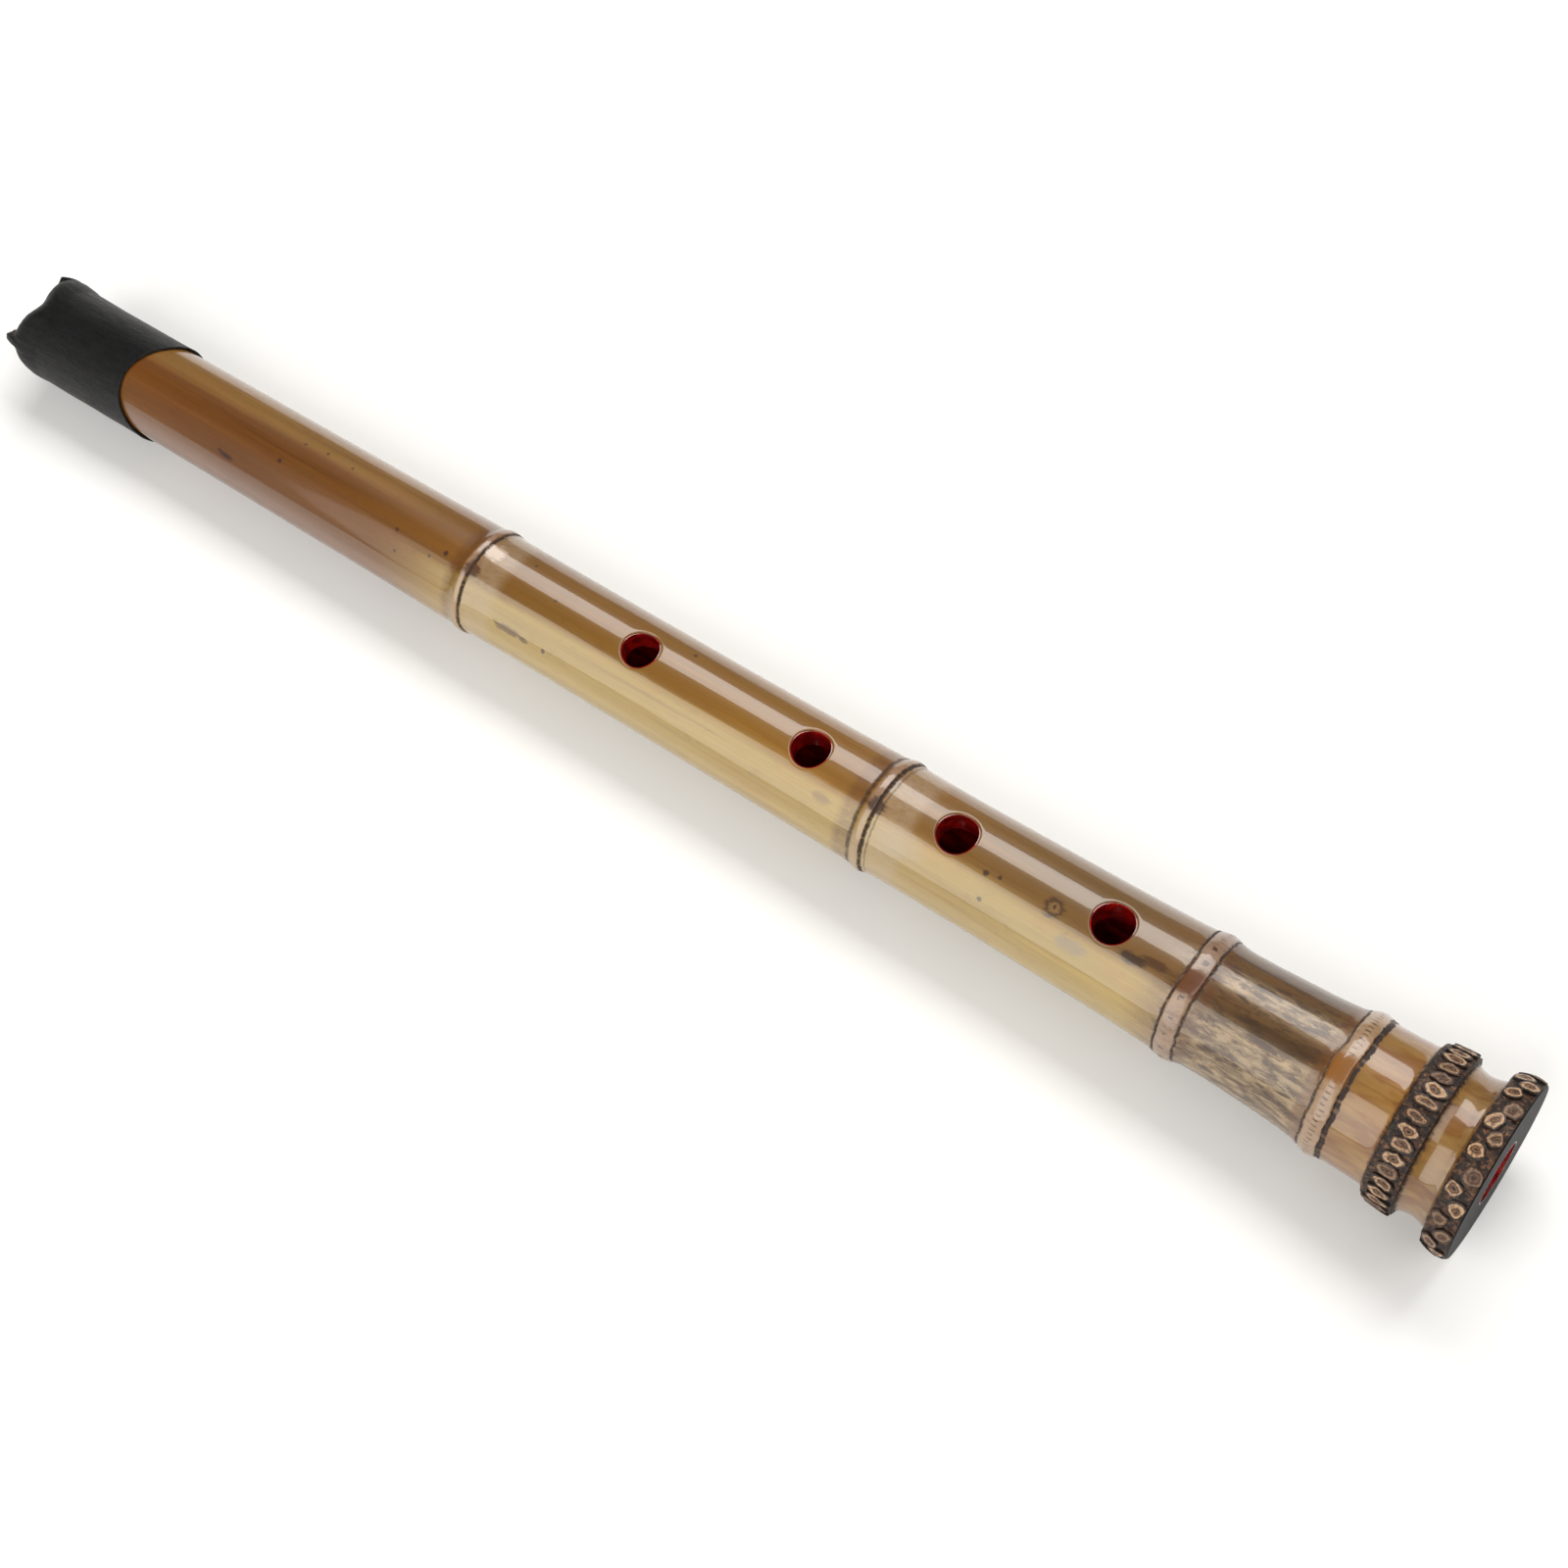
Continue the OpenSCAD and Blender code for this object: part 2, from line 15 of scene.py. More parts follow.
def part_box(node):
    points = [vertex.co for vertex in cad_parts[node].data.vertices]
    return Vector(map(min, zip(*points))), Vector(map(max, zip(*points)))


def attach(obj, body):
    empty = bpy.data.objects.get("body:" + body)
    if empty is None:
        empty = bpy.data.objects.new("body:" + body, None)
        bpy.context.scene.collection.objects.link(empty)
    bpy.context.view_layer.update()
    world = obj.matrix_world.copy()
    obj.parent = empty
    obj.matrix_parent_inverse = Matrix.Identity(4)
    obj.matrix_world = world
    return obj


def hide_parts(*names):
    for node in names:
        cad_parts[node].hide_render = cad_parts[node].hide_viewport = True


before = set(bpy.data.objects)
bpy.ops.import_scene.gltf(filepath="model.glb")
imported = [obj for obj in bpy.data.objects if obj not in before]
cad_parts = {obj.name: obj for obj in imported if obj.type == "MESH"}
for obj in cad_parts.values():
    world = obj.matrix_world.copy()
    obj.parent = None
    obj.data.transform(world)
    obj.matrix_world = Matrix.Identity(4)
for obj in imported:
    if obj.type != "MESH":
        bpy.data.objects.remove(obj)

LOG = logging.getLogger("flute")
METRES = 0.001
FULL_TURN = 2 * math.pi
TINY = 1e-6


class Body(Enum):
    """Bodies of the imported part."""

    FLUTE = "flute"
    CAP = "cap"


class Slot(Enum):
    """Material slots of the record, kept by each finisher but not given to the pieces."""

    BAMBOO = "bamboo"
    LEATHER = "leather"


def blend(a: float, b: float, t: float) -> float:
    """Returns the value a share t of the way from a to b."""
    return a + (b - a) * t


def ease(t: float) -> float:
    """Returns t, held between 0 and 1 and eased at both ends."""
    t = min(1.0, max(0.0, t))
    return t * t * (3 - 2 * t)


def window(x: float, start: float, full: float, fade: float, stop: float) -> float:
    """Returns a share of 1 between full and fade, eased to 0 at start and at stop."""
    return ease((x - start) / (full - start)) * ease((stop - x) / (stop - fade))


def steps(start: float, stop: float, pitch: float) -> list[float]:
    """Divides a length evenly.

    Args:
        start: First station, which is left out.
        stop: Last station, which is kept.
        pitch: Largest distance between two stations.

    Returns:
        The stations after start, up to stop.
    """
    count = max(1, math.ceil(abs(stop - start) / pitch - TINY))
    return [blend(start, stop, k / count) for k in range(1, count + 1)]


def spread(start: float, marks: Iterable[tuple[float, float]]) -> list[float]:
    """Lines up stations through a row of marks.

    Args:
        start: First station.
        marks: Stations to reach in turn, each with the largest pitch before it.

    Returns:
        All the stations. A mark that lies behind the last one is passed over.
    """
    stations, last = [start], start
    for mark, pitch in marks:
        if mark > last + TINY:
            stations += steps(last, mark, pitch)
            last = mark
    return stations


def wander(turn: float, s: float, waves: float, length: float, seed: float) -> float:
    """Smooth noise that closes round the flute.

    Args:
        turn: Angle round the flute in radians.
        s: Station along the flute in mm.
        waves: Number of waves per radian, roughly.
        length: Length of a wave along the flute in mm.
        seed: Moves the noise, so that two uses differ.

    Returns:
        A value between -1 and 1.
    """
    at = Vector((math.cos(turn) * waves + seed, math.sin(turn) * waves, s / length + seed))
    return noise.noise(at)


@dataclass(frozen=True)
class Ripple:
    """A layer of unevenness, with its height and length in mm.

    Waves is roughly the number of waves per radian, and the seed moves the noise.
    """

    height: float
    waves: float
    length: float
    seed: float

    def at(self, s: float, turn: float) -> float:
        """Returns how far the layer lifts the surface at s and turn."""
        return self.height * wander(turn, s, self.waves, self.length, self.seed)


def add_object(name: str, data: bpy.types.ID) -> bpy.types.Object:
    """Adds an object with the given data to the scene and returns it."""
    made = bpy.data.objects.new(name, data)
    bpy.context.scene.collection.objects.link(made)
    return made


@dataclass(frozen=True)
class Lay:
    """Where the flute lies. Stations run from the root end to the mouth, in mm."""

    root_x: float
    axis_z: float

    @classmethod
    def of_frame(cls) -> "Lay":
        """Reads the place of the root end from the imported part."""
        low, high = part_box("root_end_lacquer")
        return cls(high.x / METRES, (low.z + high.z) / 2 / METRES)

    def place(self, s: float, r: float, turn: float) -> Vector:
        """Finds a point of the flute.

        Args:
            s: Station in mm from the root end.
            r: Distance from the axis in mm.
            turn: Angle in radians from the finger holes towards +Y.

        Returns:
            The point in mm, in the frame of the part.
        """
        return Vector((self.root_x - s, r * math.sin(turn), self.axis_z + r * math.cos(turn)))


class Skin:
    """A tube spun from one straight edge, whose vertices are then put in place."""

    def __init__(self, rows: int, columns: int, numbers: tuple[str, ...] = ()) -> None:
        """Spins the tube.

        Args:
            rows: Number of rings of vertices.
            columns: Number of vertices in a ring.
            numbers: Names of the numbers that each vertex carries for the materials.
        """
        self.columns = columns
        self.mesh: BMesh = bmesh.new()
        for name in numbers:
            self.mesh.verts.layers.float.new(name)
        ends = [self.mesh.verts.new((x, 0.0, 1.0)) for x in (0.0, rows - 1.0)]
        edge = self.mesh.edges.new(ends)
        bmesh.ops.subdivide_edges(self.mesh, edges=[edge], cuts=rows - 2)
        bmesh.ops.spin(
            self.mesh, geom=self.mesh.verts[:] + self.mesh.edges[:], cent=(0, 0, 0),
            axis=(1, 0, 0), dvec=(0, 0, 0), angle=FULL_TURN, steps=columns, use_merge=True)
        pitch = FULL_TURN / columns
        self.at: dict[BMVert, tuple[int, int]] = {
            v: (round(v.co.x), round(math.atan2(v.co.y, v.co.z) / pitch) % columns)
            for v in self.mesh.verts}

    def open_block(self, rows: tuple[int, int], columns: set[int]) -> list[BMEdge]:
        """Takes out the faces of a block of the tube.

        Args:
            rows: First and last row of the block.
            columns: Columns of the block, its two sides included.

        Returns:
            The edges round the opening.
        """
        def inside(v: BMVert) -> bool:
            """Returns whether a vertex belongs to the block."""
            row, column = self.at[v]
            return rows[0] <= row <= rows[1] and column in columns

        corners = [v for v in self.mesh.verts if v in self.at and inside(v)]
        chosen = set(corners)
        faces = {f for v in corners for f in v.link_faces if all(c in chosen for c in f.verts)}
        rim = {e for f in faces for e in f.edges if any(g not in faces for g in e.link_faces)}
        bmesh.ops.delete(self.mesh, geom=list(faces), context="FACES")
        return [e for e in rim if e.is_valid]

    def put(self, place: Callable[[int, int], Vector]) -> None:
        """Moves each vertex of the tube to where place says for its row and column."""
        for v, (row, column) in self.at.items():
            if v.is_valid:
                v.co = place(row, column)


def grow_rim(mesh: BMesh, rim: list[BMEdge], move: Callable[[Vector], Vector]) -> list[BMEdge]:
    """Extrudes a loop of edges and moves the new loop.

    Args:
        mesh: The mesh that holds the loop.
        rim: Edges of the loop.
        move: Gives the new place of a point of the loop.

    Returns:
        The edges of the new loop.
    """
    made = bmesh.ops.extrude_edge_only(mesh, edges=rim)["geom"]
    for v in (x for x in made if isinstance(x, BMVert)):
        v.co = move(v.co)
    return [x for x in made if isinstance(x, BMEdge) and len(x.link_faces) == 1]


@dataclass
class Finisher:
    """Turns a mesh in mm into a piece that rides on the part."""

    body: Body
    slot: Slot
    crease: float = 38.0

    def piece(self, mesh: BMesh, name: str, material: bpy.types.Material,
              replaces: Iterable[str] = ()) -> bpy.types.Object:
        """Makes the object of a piece.

        Args:
            mesh: The finished mesh in mm, which is freed.
            name: Name of the piece.
            material: Its finish.
            replaces: CAD nodes that the piece stands for.

        Returns:
            The object, riding on its body.
        """
        bmesh.ops.scale(mesh, vec=(METRES,) * 3, verts=mesh.verts[:])
        for face in mesh.faces:
            face.smooth = True
        for edge in mesh.edges:
            if edge.is_manifold:
                edge.smooth = edge.calc_face_angle() < math.radians(self.crease)
        data = bpy.data.meshes.new(name)
        mesh.to_mesh(data)
        mesh.free()
        data.materials.append(material)
        made = add_object(name, data)
        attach(made, self.body.value)
        if replaces:
            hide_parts(*replaces)
        return made


@dataclass(frozen=True)
class Hole:
    """A finger hole or the thumb hole, with its place and its drilled radius in mm."""

    at: float
    radius: float
    turn: float


@dataclass
class CulmForm:
    """Outline of the culm and of its bore. Lengths are in mm from the root end."""

    length: float = 545.0
    mouth_r: float = 16.1
    mouth_bevel: float = 1.2
    nodes_at: tuple[float, ...] = (354.0, 199.0, 93.0, 46.0)
    shoulders_r: tuple[float, ...] = (17.2, 17.75, 19.3, 21.5)
    ridges_w: tuple[float, ...] = (7.0, 7.0, 12.0, 12.0)
    waists: tuple[float, ...] = (0.25, 0.45, 0.7, 1.3, 0.4)
    ridge_h: float = 0.75
    scar_d: float = 0.3
    scar_w: float = 1.0
    scar_share: float = 0.25
    end_coat: float = 0.4
    rim_w: float = 8.4
    rim_foot_r: float = 27.0
    rim_top_r: float = 25.9
    rim_crown: float = 0.75
    neck_from: float = 9.4
    neck_to: float = 18.0
    neck_r: float = 21.6
    neck_rise: float = 1.2
    collar_at: float = 18.4
    collar_w: float = 9.4
    collar_foot_r: float = 24.7
    collar_top_r: float = 23.8
    collar_crown: float = 0.3
    foot_at: float = 28.8
    foot_r: float = 21.85
    lacquer_t: float = 0.3
    partition_t: float = 4.0
    partition_slope: float = 1.5
    partition_cover: float = 0.5
    hollows_r: tuple[float, ...] = (11.4, 11.0, 10.4)
    hollow_pinch: float = 0.2
    bore_mouth_r: float = 10.0
    bore_choke_r: float = 8.4
    bore_choke_at: float = 78.0
    bore_root_r: float = 9.5
    bore_root_l: float = 22.0
    bore_swell: float = 0.1
    cut_angle: float = 30.0
    edge_drop: float = 4.3
    holes: tuple[Hole, ...] = (
        Hole(120.5, 6.3, 0.0), Hole(173.0, 6.2, 0.0), Hole(225.0, 6.0, 0.0),
        Hole(289.0, 5.9, 0.0), Hole(323.0, 5.3, math.pi))

    @property
    def cut_x(self) -> float:
        """Distance of the slanting cut from the axis at the mouth end."""
        return self.bore_mouth_r - self.edge_drop * math.tan(math.radians(self.cut_angle))

    def internode_r(self, s: float) -> float:
        """Returns the radius of the culm at s without the ridges of its nodes."""
        stations = (self.length, *self.nodes_at, self.foot_at)
        radii = (self.mouth_r, *self.shoulders_r, self.foot_r)
        for k, waist in enumerate(self.waists):
            if s > stations[k + 1] or k == len(self.waists) - 1:
                t = (s - stations[k + 1]) / (stations[k] - stations[k + 1])
                return blend(radii[k + 1], radii[k], t) - waist * (1 - (2 * t - 1) ** 4)
        return self.mouth_r

    def ridge(self, s: float, node: int) -> float:
        """Returns the height of a node's ridge at s, less its scars."""
        at, width = self.nodes_at[node], self.ridges_w[node]
        x = (s - at) / (width / 2)
        rise = self.ridge_h * (1 + math.cos(math.pi * x)) / 2 if abs(x) < 1 else 0.0
        sides = (-1, 1) if node > 1 else (-1,)
        for side in sides:
            off = abs(s - at - side * self.scar_share * width) / (self.scar_w / 2)
            rise -= self.scar_d * max(0.0, 1 - off)
        return rise

    def outer_r(self, s: float) -> float:
        """Returns the outer radius of the culm at s."""
        if s < self.rim_w:
            t = (s - self.end_coat) / (self.rim_w - self.end_coat)
            return blend(self.rim_foot_r, self.rim_top_r, t) + self.rim_crown * 4 * t * (1 - t)
        if s < self.neck_from:
            t = ease((s - self.rim_w) / (self.neck_from - self.rim_w))
            return blend(self.rim_top_r, self.neck_r + self.neck_rise, t)
        if s < self.neck_to:
            t = (s - self.neck_from) / (self.neck_to - self.neck_from)
            return self.neck_r + self.neck_rise * (2 * t - 1) ** 2
        if s < self.collar_at:
            t = ease((s - self.neck_to) / (self.collar_at - self.neck_to))
            return blend(self.neck_r + self.neck_rise, self.collar_foot_r, t)
        top = self.collar_at + self.collar_w
        if s < top:
            t = (s - self.collar_at) / self.collar_w
            return (blend(self.collar_foot_r, self.collar_top_r, t)
                    + self.collar_crown * 4 * t * (1 - t))
        if s < self.foot_at:
            t = ease((s - top) / (self.foot_at - top))
            return blend(self.collar_top_r, self.foot_r, t)
        edge = self.length - self.mouth_bevel
        if s > edge:
            t = (s - edge) / self.mouth_bevel
            return self.mouth_r - self.mouth_bevel * (1 - math.sqrt(max(0.0, 1 - t * t)))
        return self.internode_r(s) + sum(self.ridge(s, k) for k in range(len(self.nodes_at)))

    def bore_r(self, s: float) -> float:
        """Returns the radius of the finished bore at s."""
        if s < self.bore_choke_at:
            t = max(0.0, s - self.bore_root_l) / (self.bore_choke_at - self.bore_root_l)
            return blend(self.bore_root_r, self.bore_choke_r, t)
        t = (s - self.bore_choke_at) / (self.length - self.bore_choke_at)
        return blend(self.bore_choke_r, self.bore_mouth_r, t) + self.bore_swell * 4 * t * (1 - t)

    def hollow_r(self, s: float) -> float:
        """Returns the radius of the hollow of the bamboo at s, its partitions included."""
        drilled = self.bore_r(s) + self.lacquer_t
        foot = self.partition_t / 2 + self.partition_slope
        marks = (self.length + foot, *self.nodes_at[:3])
        if s < self.nodes_at[2] - self.partition_t:
            return drilled
        for k, radius in enumerate(self.hollows_r):
            low, high = marks[k + 1] + foot, marks[k] - foot
            if low <= s <= high:
                t = (s - low) / (high - low)
                return radius - self.hollow_pinch * (2 * t - 1) ** 4
        return drilled + self.partition_cover


@dataclass
class CulmSurface:
    """The culm's outside with its small unevenness.

    The bark on the rim and on the collar is sunk, so that it lies below the rootlets.
    """

    form: CulmForm
    wave_reach: float = 13.0
    wave_h: tuple[float, ...] = (0.35, 0.45, 0.75, 0.95)
    slow_wave: Ripple = Ripple(1.0, 1.3, 1.0, 3.1)
    fast_wave: Ripple = Ripple(0.6, 3.4, 1.0, 9.7)
    body_from: float = 30.0
    body_ease: float = 20.0
    mouth_ease: float = 12.0
    body: tuple[Ripple, ...] = (Ripple(0.16, 0.8, 90, 1.7), Ripple(0.06, 2.2, 30, 5.3))
    bark: tuple[Ripple, ...] = (Ripple(0.34, 9.0, 2.6, 2.2), Ripple(0.26, 19.0, 1.5, 7.9))
    rim_bark: tuple[float, ...] = (0.4, 1.2, 8.4, 10.4)
    collar_bark: tuple[float, ...] = (17.4, 18.9, 27.7, 29.2)
    collar_share: float = 0.75
    bark_sink: float = 0.5
    neck: Ripple = Ripple(0.12, 2.0, 5.0, 4.4)

    def wave(self, s: float, turn: float) -> float:
        """Returns how far the lines of the nodes wander along the flute, in mm."""
        total = 0.0
        for k, at in enumerate(self.form.nodes_at):
            near = 1 - ease(abs(s - at) / self.wave_reach)
            if near > 0:
                total += near * self.wave_h[k] * sum(
                    replace(ripple, seed=ripple.seed + k).at(0.0, turn)
                    for ripple in (self.slow_wave, self.fast_wave))
        return total

    def radius(self, s: float, turn: float) -> float:
        """Returns the outer radius at s and turn, with the culm's unevenness."""
        form = self.form
        body = window(s, self.body_from, self.body_from + self.body_ease,
                      form.length - self.mouth_ease, form.length)
        uneven = body * sum(ripple.at(s, turn) for ripple in self.body)
        bark = window(s, *self.rim_bark) + self.collar_share * window(s, *self.collar_bark)
        if bark > 0:
            uneven += bark * (sum(ripple.at(s, turn) for ripple in self.bark) - self.bark_sink)
        if form.neck_from < s < form.neck_to:
            uneven += self.neck.at(s, turn)
        return form.outer_r(s) + uneven


@dataclass
class HoleWarp:
    """Bends the grid of a skin round a hole, so that a block of it becomes a circle."""

    hole: Hole
    edge_r: float
    skin_r: float
    half_rows: float
    half_turn: float
    reach: float
    widest_turn: float = 1.2
    block_share: float = 0.99

    def bent(self, s: float, turn: float) -> tuple[float, float]:
        """Moves one point of the skin.

        Args:
            s: Station of the point in mm.
            turn: Its angle in radians.

        Returns:
            The station and the angle after the bend.
        """
        off = (turn - self.hole.turn + math.pi) % FULL_TURN - math.pi
        if abs(off) > self.widest_turn:
            return s, turn
        dx, dy = s - self.hole.at, self.skin_r * math.sin(off)
        half_y = self.skin_r * math.sin(self.half_turn)
        m = max(abs(dx) / self.half_rows, abs(dy) / half_y)
        if m < self.block_share or m >= self.reach:
            return s, turn
        x, y = dx / self.half_rows / m, dy / half_y / m
        if abs(x) >= abs(y):
            angle = y / abs(x) * math.pi / 4
            way = (math.copysign(math.cos(angle), x), math.sin(angle))
        else:
            angle = x / abs(y) * math.pi / 4
            way = (math.sin(angle), math.copysign(math.cos(angle), y))
        share = ease((m - 1) / (self.reach - 1))
        dx = blend(way[0] * self.edge_r * m, dx, share)
        dy = blend(way[1] * self.edge_r * m, dy, share)
        return self.hole.at + dx, self.hole.turn + math.asin(max(-1.0, min(1.0, dy / self.skin_r)))


@dataclass
class Culm:
    """The length of bamboo, with its root end, nodes, holes and slanting cut."""

    lay: Lay
    surface: CulmSurface
    columns: int = 180
    hole_bevel: float = 0.6
    row_pitch: float = 0.8
    inlay_half_w: float = 5.5
    inlay_foot_half_w: float = 4.0
    inlay_t: float = 1.6
    inlay_margin: float = 4.2
    cut_reach: float = 25.0
    bend_reach: tuple[float, float] = (2.1, 1.5)
    long_pitch: float = 30.0
    block_share: float = 0.9
    rounding_steps: int = 4
    wall_start: float = 0.8
    weld: float = 0.002

    def outer_stations(self) -> list[float]:
        """Returns the stations of the rows on the outside, closer where the form turns."""
        form = self.surface.form
        top = form.collar_at + form.collar_w
        marks: list[tuple[float, float]] = [
            (form.rim_w, 0.4), (form.neck_from, 0.2), (form.neck_to, 0.62), (form.collar_at, 0.14),
            (top, 0.45), (form.foot_at, 0.25)]
        spans: list[tuple[float, float]] = []
        for k, at in enumerate(form.nodes_at):
            half, scar = form.ridges_w[k] / 2, form.scar_share * form.ridges_w[k]
            near = form.scar_w * 0.75
            spans += [(at - half, 2.6), (at - scar - near, 0.7), (at - scar + near, 0.25)]
            if k > 1:
                spans += [(at + scar - near, 0.7), (at + scar + near, 0.25)]
            spans += [(at + half, 0.7)]
        for hole in form.holes:
            half = self.block_half(hole.radius + form.lacquer_t + self.hole_bevel)
            spans += [(hole.at - 2.3 * half, 2.6), (hole.at - 1.45 * half, 1.7),
                      (hole.at - half, 0.95), (hole.at + half, self.row_pitch),
                      (hole.at + 1.45 * half, 0.95), (hole.at + 2.3 * half, 1.7)]
        marks += sorted(spans) + [(form.length - form.mouth_bevel, 3.0), (form.length, 0.2)]
        return spread(form.end_coat, marks)

    def inner_stations(self) -> list[float]:
        """Returns the stations of the rows in the hollow, from the mouth to the root."""
        form = self.surface.form
        marks: list[tuple[float, float]] = []
        for hole in form.holes:
            half = self.block_half(hole.radius + form.lacquer_t)
            marks += [(hole.at - 2 * half, self.long_pitch), (hole.at - half, 4.0),
                      (hole.at + half, self.row_pitch * 1.3), (hole.at + 2 * half, 4.0)]
        for at in form.nodes_at[:3]:
            foot = form.partition_t / 2 + form.partition_slope
            marks += [(at - foot, self.long_pitch), (at - form.partition_t / 2, 1.5),
                      (at + form.partition_t / 2, 4.0), (at + foot, 1.5)]
        marks += [(at, self.long_pitch) for at in (
            form.bore_root_l, form.bore_choke_at, form.length - self.cut_reach * 0.8, form.length)]
        return spread(form.end_coat, sorted(marks))[::-1]

    def block_half(self, edge_r: float) -> float:
        """Returns half the length of the block of rows that a hole takes out."""
        return self.block_share * edge_r

    def warps(self, outside: bool) -> list[HoleWarp]:
        """Returns the bends round the holes, on the outside or in the hollow."""
        form = self.surface.form
        made = []
        for hole in form.holes:
            edge_r = hole.radius + form.lacquer_t + (self.hole_bevel if outside else 0.0)
            skin_r = form.outer_r(hole.at) if outside else form.hollow_r(hole.at)
            pitch = FULL_TURN / self.columns
            half = self.block_half(edge_r)
            columns = max(3, round(math.asin(min(0.95, half / skin_r)) / pitch))
            reach = self.bend_reach[0 if outside else 1]
            made.append(HoleWarp(hole, edge_r, skin_r, half, columns * pitch, reach))
        return made

    def mesh(self) -> BMesh:
        """Builds the culm.

        Returns:
            The closed mesh in mm.
        """
        form, lay = self.surface.form, self.lay
        outer, inner = self.outer_stations(), self.inner_stations()
        ring = [(form.end_coat, "face")] + [(s, "outer") for s in outer]
        ring += [(s, "inner") for s in inner]
        skin = Skin(len(ring), self.columns, ("along",))
        pitch = FULL_TURN / self.columns
        warps = {"outer": self.warps(True), "inner": self.warps(False)}
        rims: dict[str, list[list[BMEdge]]] = {"outer": [], "inner": []}
        for side, stations, first in (("outer", outer, 1), ("inner", inner, 1 + len(outer))):
            for warp in warps[side]:
                rows = [k + first for k, s in enumerate(stations)
                        if abs(s - warp.hole.at) <= warp.half_rows + 1e-4]
                middle, half = round(warp.hole.turn / pitch), round(warp.half_turn / pitch)
                columns = {(middle + k) % self.columns for k in range(-half, half + 1)}
                rims[side].append(skin.open_block((rows[0], rows[-1]), columns))
        along = skin.mesh.verts.layers.float["along"]

        def place(row: int, column: int) -> Vector:
            """Returns the place of a vertex on the cut face, the outside or the hollow."""
            s, side = ring[row]
            turn = column * pitch
            if side == "face":
                return lay.place(s, form.bore_r(0) + form.lacquer_t, turn)
            for warp in warps[side]:
                s, turn = warp.bent(s, turn)
            if side == "inner":
                return lay.place(s, form.hollow_r(s), turn)
            return lay.place(s - self.surface.wave(s, turn), self.surface.radius(s, turn), turn)

        skin.put(place)
        for v, (row, _) in skin.at.items():
            if v.is_valid:
                v[along] = ring[row][0]
        self.join_holes(skin.mesh, rims, warps["outer"])
        bmesh.ops.remove_doubles(skin.mesh, verts=skin.mesh.verts[:], dist=self.weld)
        bmesh.ops.recalc_face_normals(skin.mesh, faces=skin.mesh.faces[:])
        self.cut_mouth(skin.mesh)
        for v in skin.mesh.verts:
            if v[along] == 0.0:
                v[along] = lay.root_x - v.co.x
        return skin.mesh

    def join_holes(self, mesh: BMesh, rims: dict[str, list[list[BMEdge]]],
                   warps: list[HoleWarp]) -> None:
        """Rounds the edge of each hole over and joins it to the hollow.

        Args:
            mesh: The culm's mesh.
            rims: Loops of edges round the openings, outside and in the hollow.
            warps: The bends on the outside, one for each hole.
        """
        lay, rounds = self.lay, self.rounding_steps
        for outer, inner, warp in zip(rims["outer"], rims["inner"], warps):
            hole = warp.hole
            wall_r = warp.edge_r - self.hole_bevel
            up = math.cos(hole.turn)
            loop = outer
            for k in range(1, rounds + 2):
                angle = min(1.0, k / rounds) * math.pi / 2
                reach = wall_r + self.hole_bevel * (1 - math.sin(angle))
                depth = self.hole_bevel * (1 - math.cos(angle))
                depth += self.wall_start if k > rounds else 0.0

                def move(co: Vector) -> Vector:
                    """Puts a point of the loop on the circle of this step, at its depth."""
                    dx, dy = lay.root_x - co.x - hole.at, co.y
                    flat = math.hypot(dx, dy)
                    dx, dy = dx / flat * reach, dy / flat * reach
                    s = hole.at + dx
                    skin_r = self.surface.radius(s, hole.turn) - depth
                    height = math.sqrt(skin_r ** 2 - dy ** 2)
                    return Vector((lay.root_x - s, dy, lay.axis_z + up * height))

                loop = grow_rim(mesh, loop, move)
            bmesh.ops.bridge_loops(mesh, edges=loop + [e for e in inner if e.is_valid])

    def cut_mouth(self, mesh: BMesh) -> None:
        """Makes the slanting cut of the blowing edge, with the seat of the inlay.

        Args:
            mesh: The culm's closed mesh.
        """
        form, lay = self.surface.form, self.lay
        angle = math.radians(form.cut_angle)
        out = Vector((-math.sin(angle), 0.0, math.cos(angle)))
        down = Vector((math.cos(angle), 0.0, math.sin(angle)))
        start = lay.place(form.length, form.cut_x, 0.0)
        near = [v for v in mesh.verts if v.co.x < lay.root_x - form.length + self.cut_reach]
        parts = set(near)
        edges = [e for e in mesh.edges if e.verts[0] in parts and e.verts[1] in parts]
        faces = [f for f in mesh.faces if all(v in parts for v in f.verts)]
        cut = bmesh.ops.bisect_plane(
            mesh, geom=near + edges + faces, dist=1e-4, plane_co=start, plane_no=out,
            clear_outer=True)["geom_cut"]
        open_edges = [e for e in cut if isinstance(e, BMEdge) and e.is_boundary]
        made = bmesh.ops.contextual_create(mesh, geom=open_edges)["faces"]
        foot_l = (form.mouth_r - form.cut_x) / math.sin(angle) - self.inlay_margin
        run = (self.inlay_half_w - self.inlay_foot_half_w) / (foot_l + 2)
        bounds: list[tuple[Vector, Vector]] = [(start + down * foot_l, down)]
        for side in (-1, 1):
            normal = Vector((0.0, side, 0.0)) + down * run
            bounds.append((start + Vector((0.0, side * self.inlay_foot_half_w, 0.0))
                           + down * foot_l, normal.normalized()))
        for co, normal in bounds:
            geom: list[Any] = list(made)
            geom += list({e for f in made for e in f.edges})
            geom += list({v for f in made for v in f.verts})
            result = bmesh.ops.bisect_plane(mesh, geom=geom, dist=1e-4, plane_co=co, plane_no=normal)
            made = [f for f in {*result["geom"], *made} if isinstance(f, BMFace) and f.is_valid]
        seat = [f for f in made if all((f.calc_center_median() - co).dot(normal) < 0
                                       for co, normal in bounds)]
        sunk = bmesh.ops.extrude_face_region(mesh, geom=seat)["geom"]
        bmesh.ops.delete(mesh, geom=[f for f in seat if f.is_valid], context="FACES_ONLY")
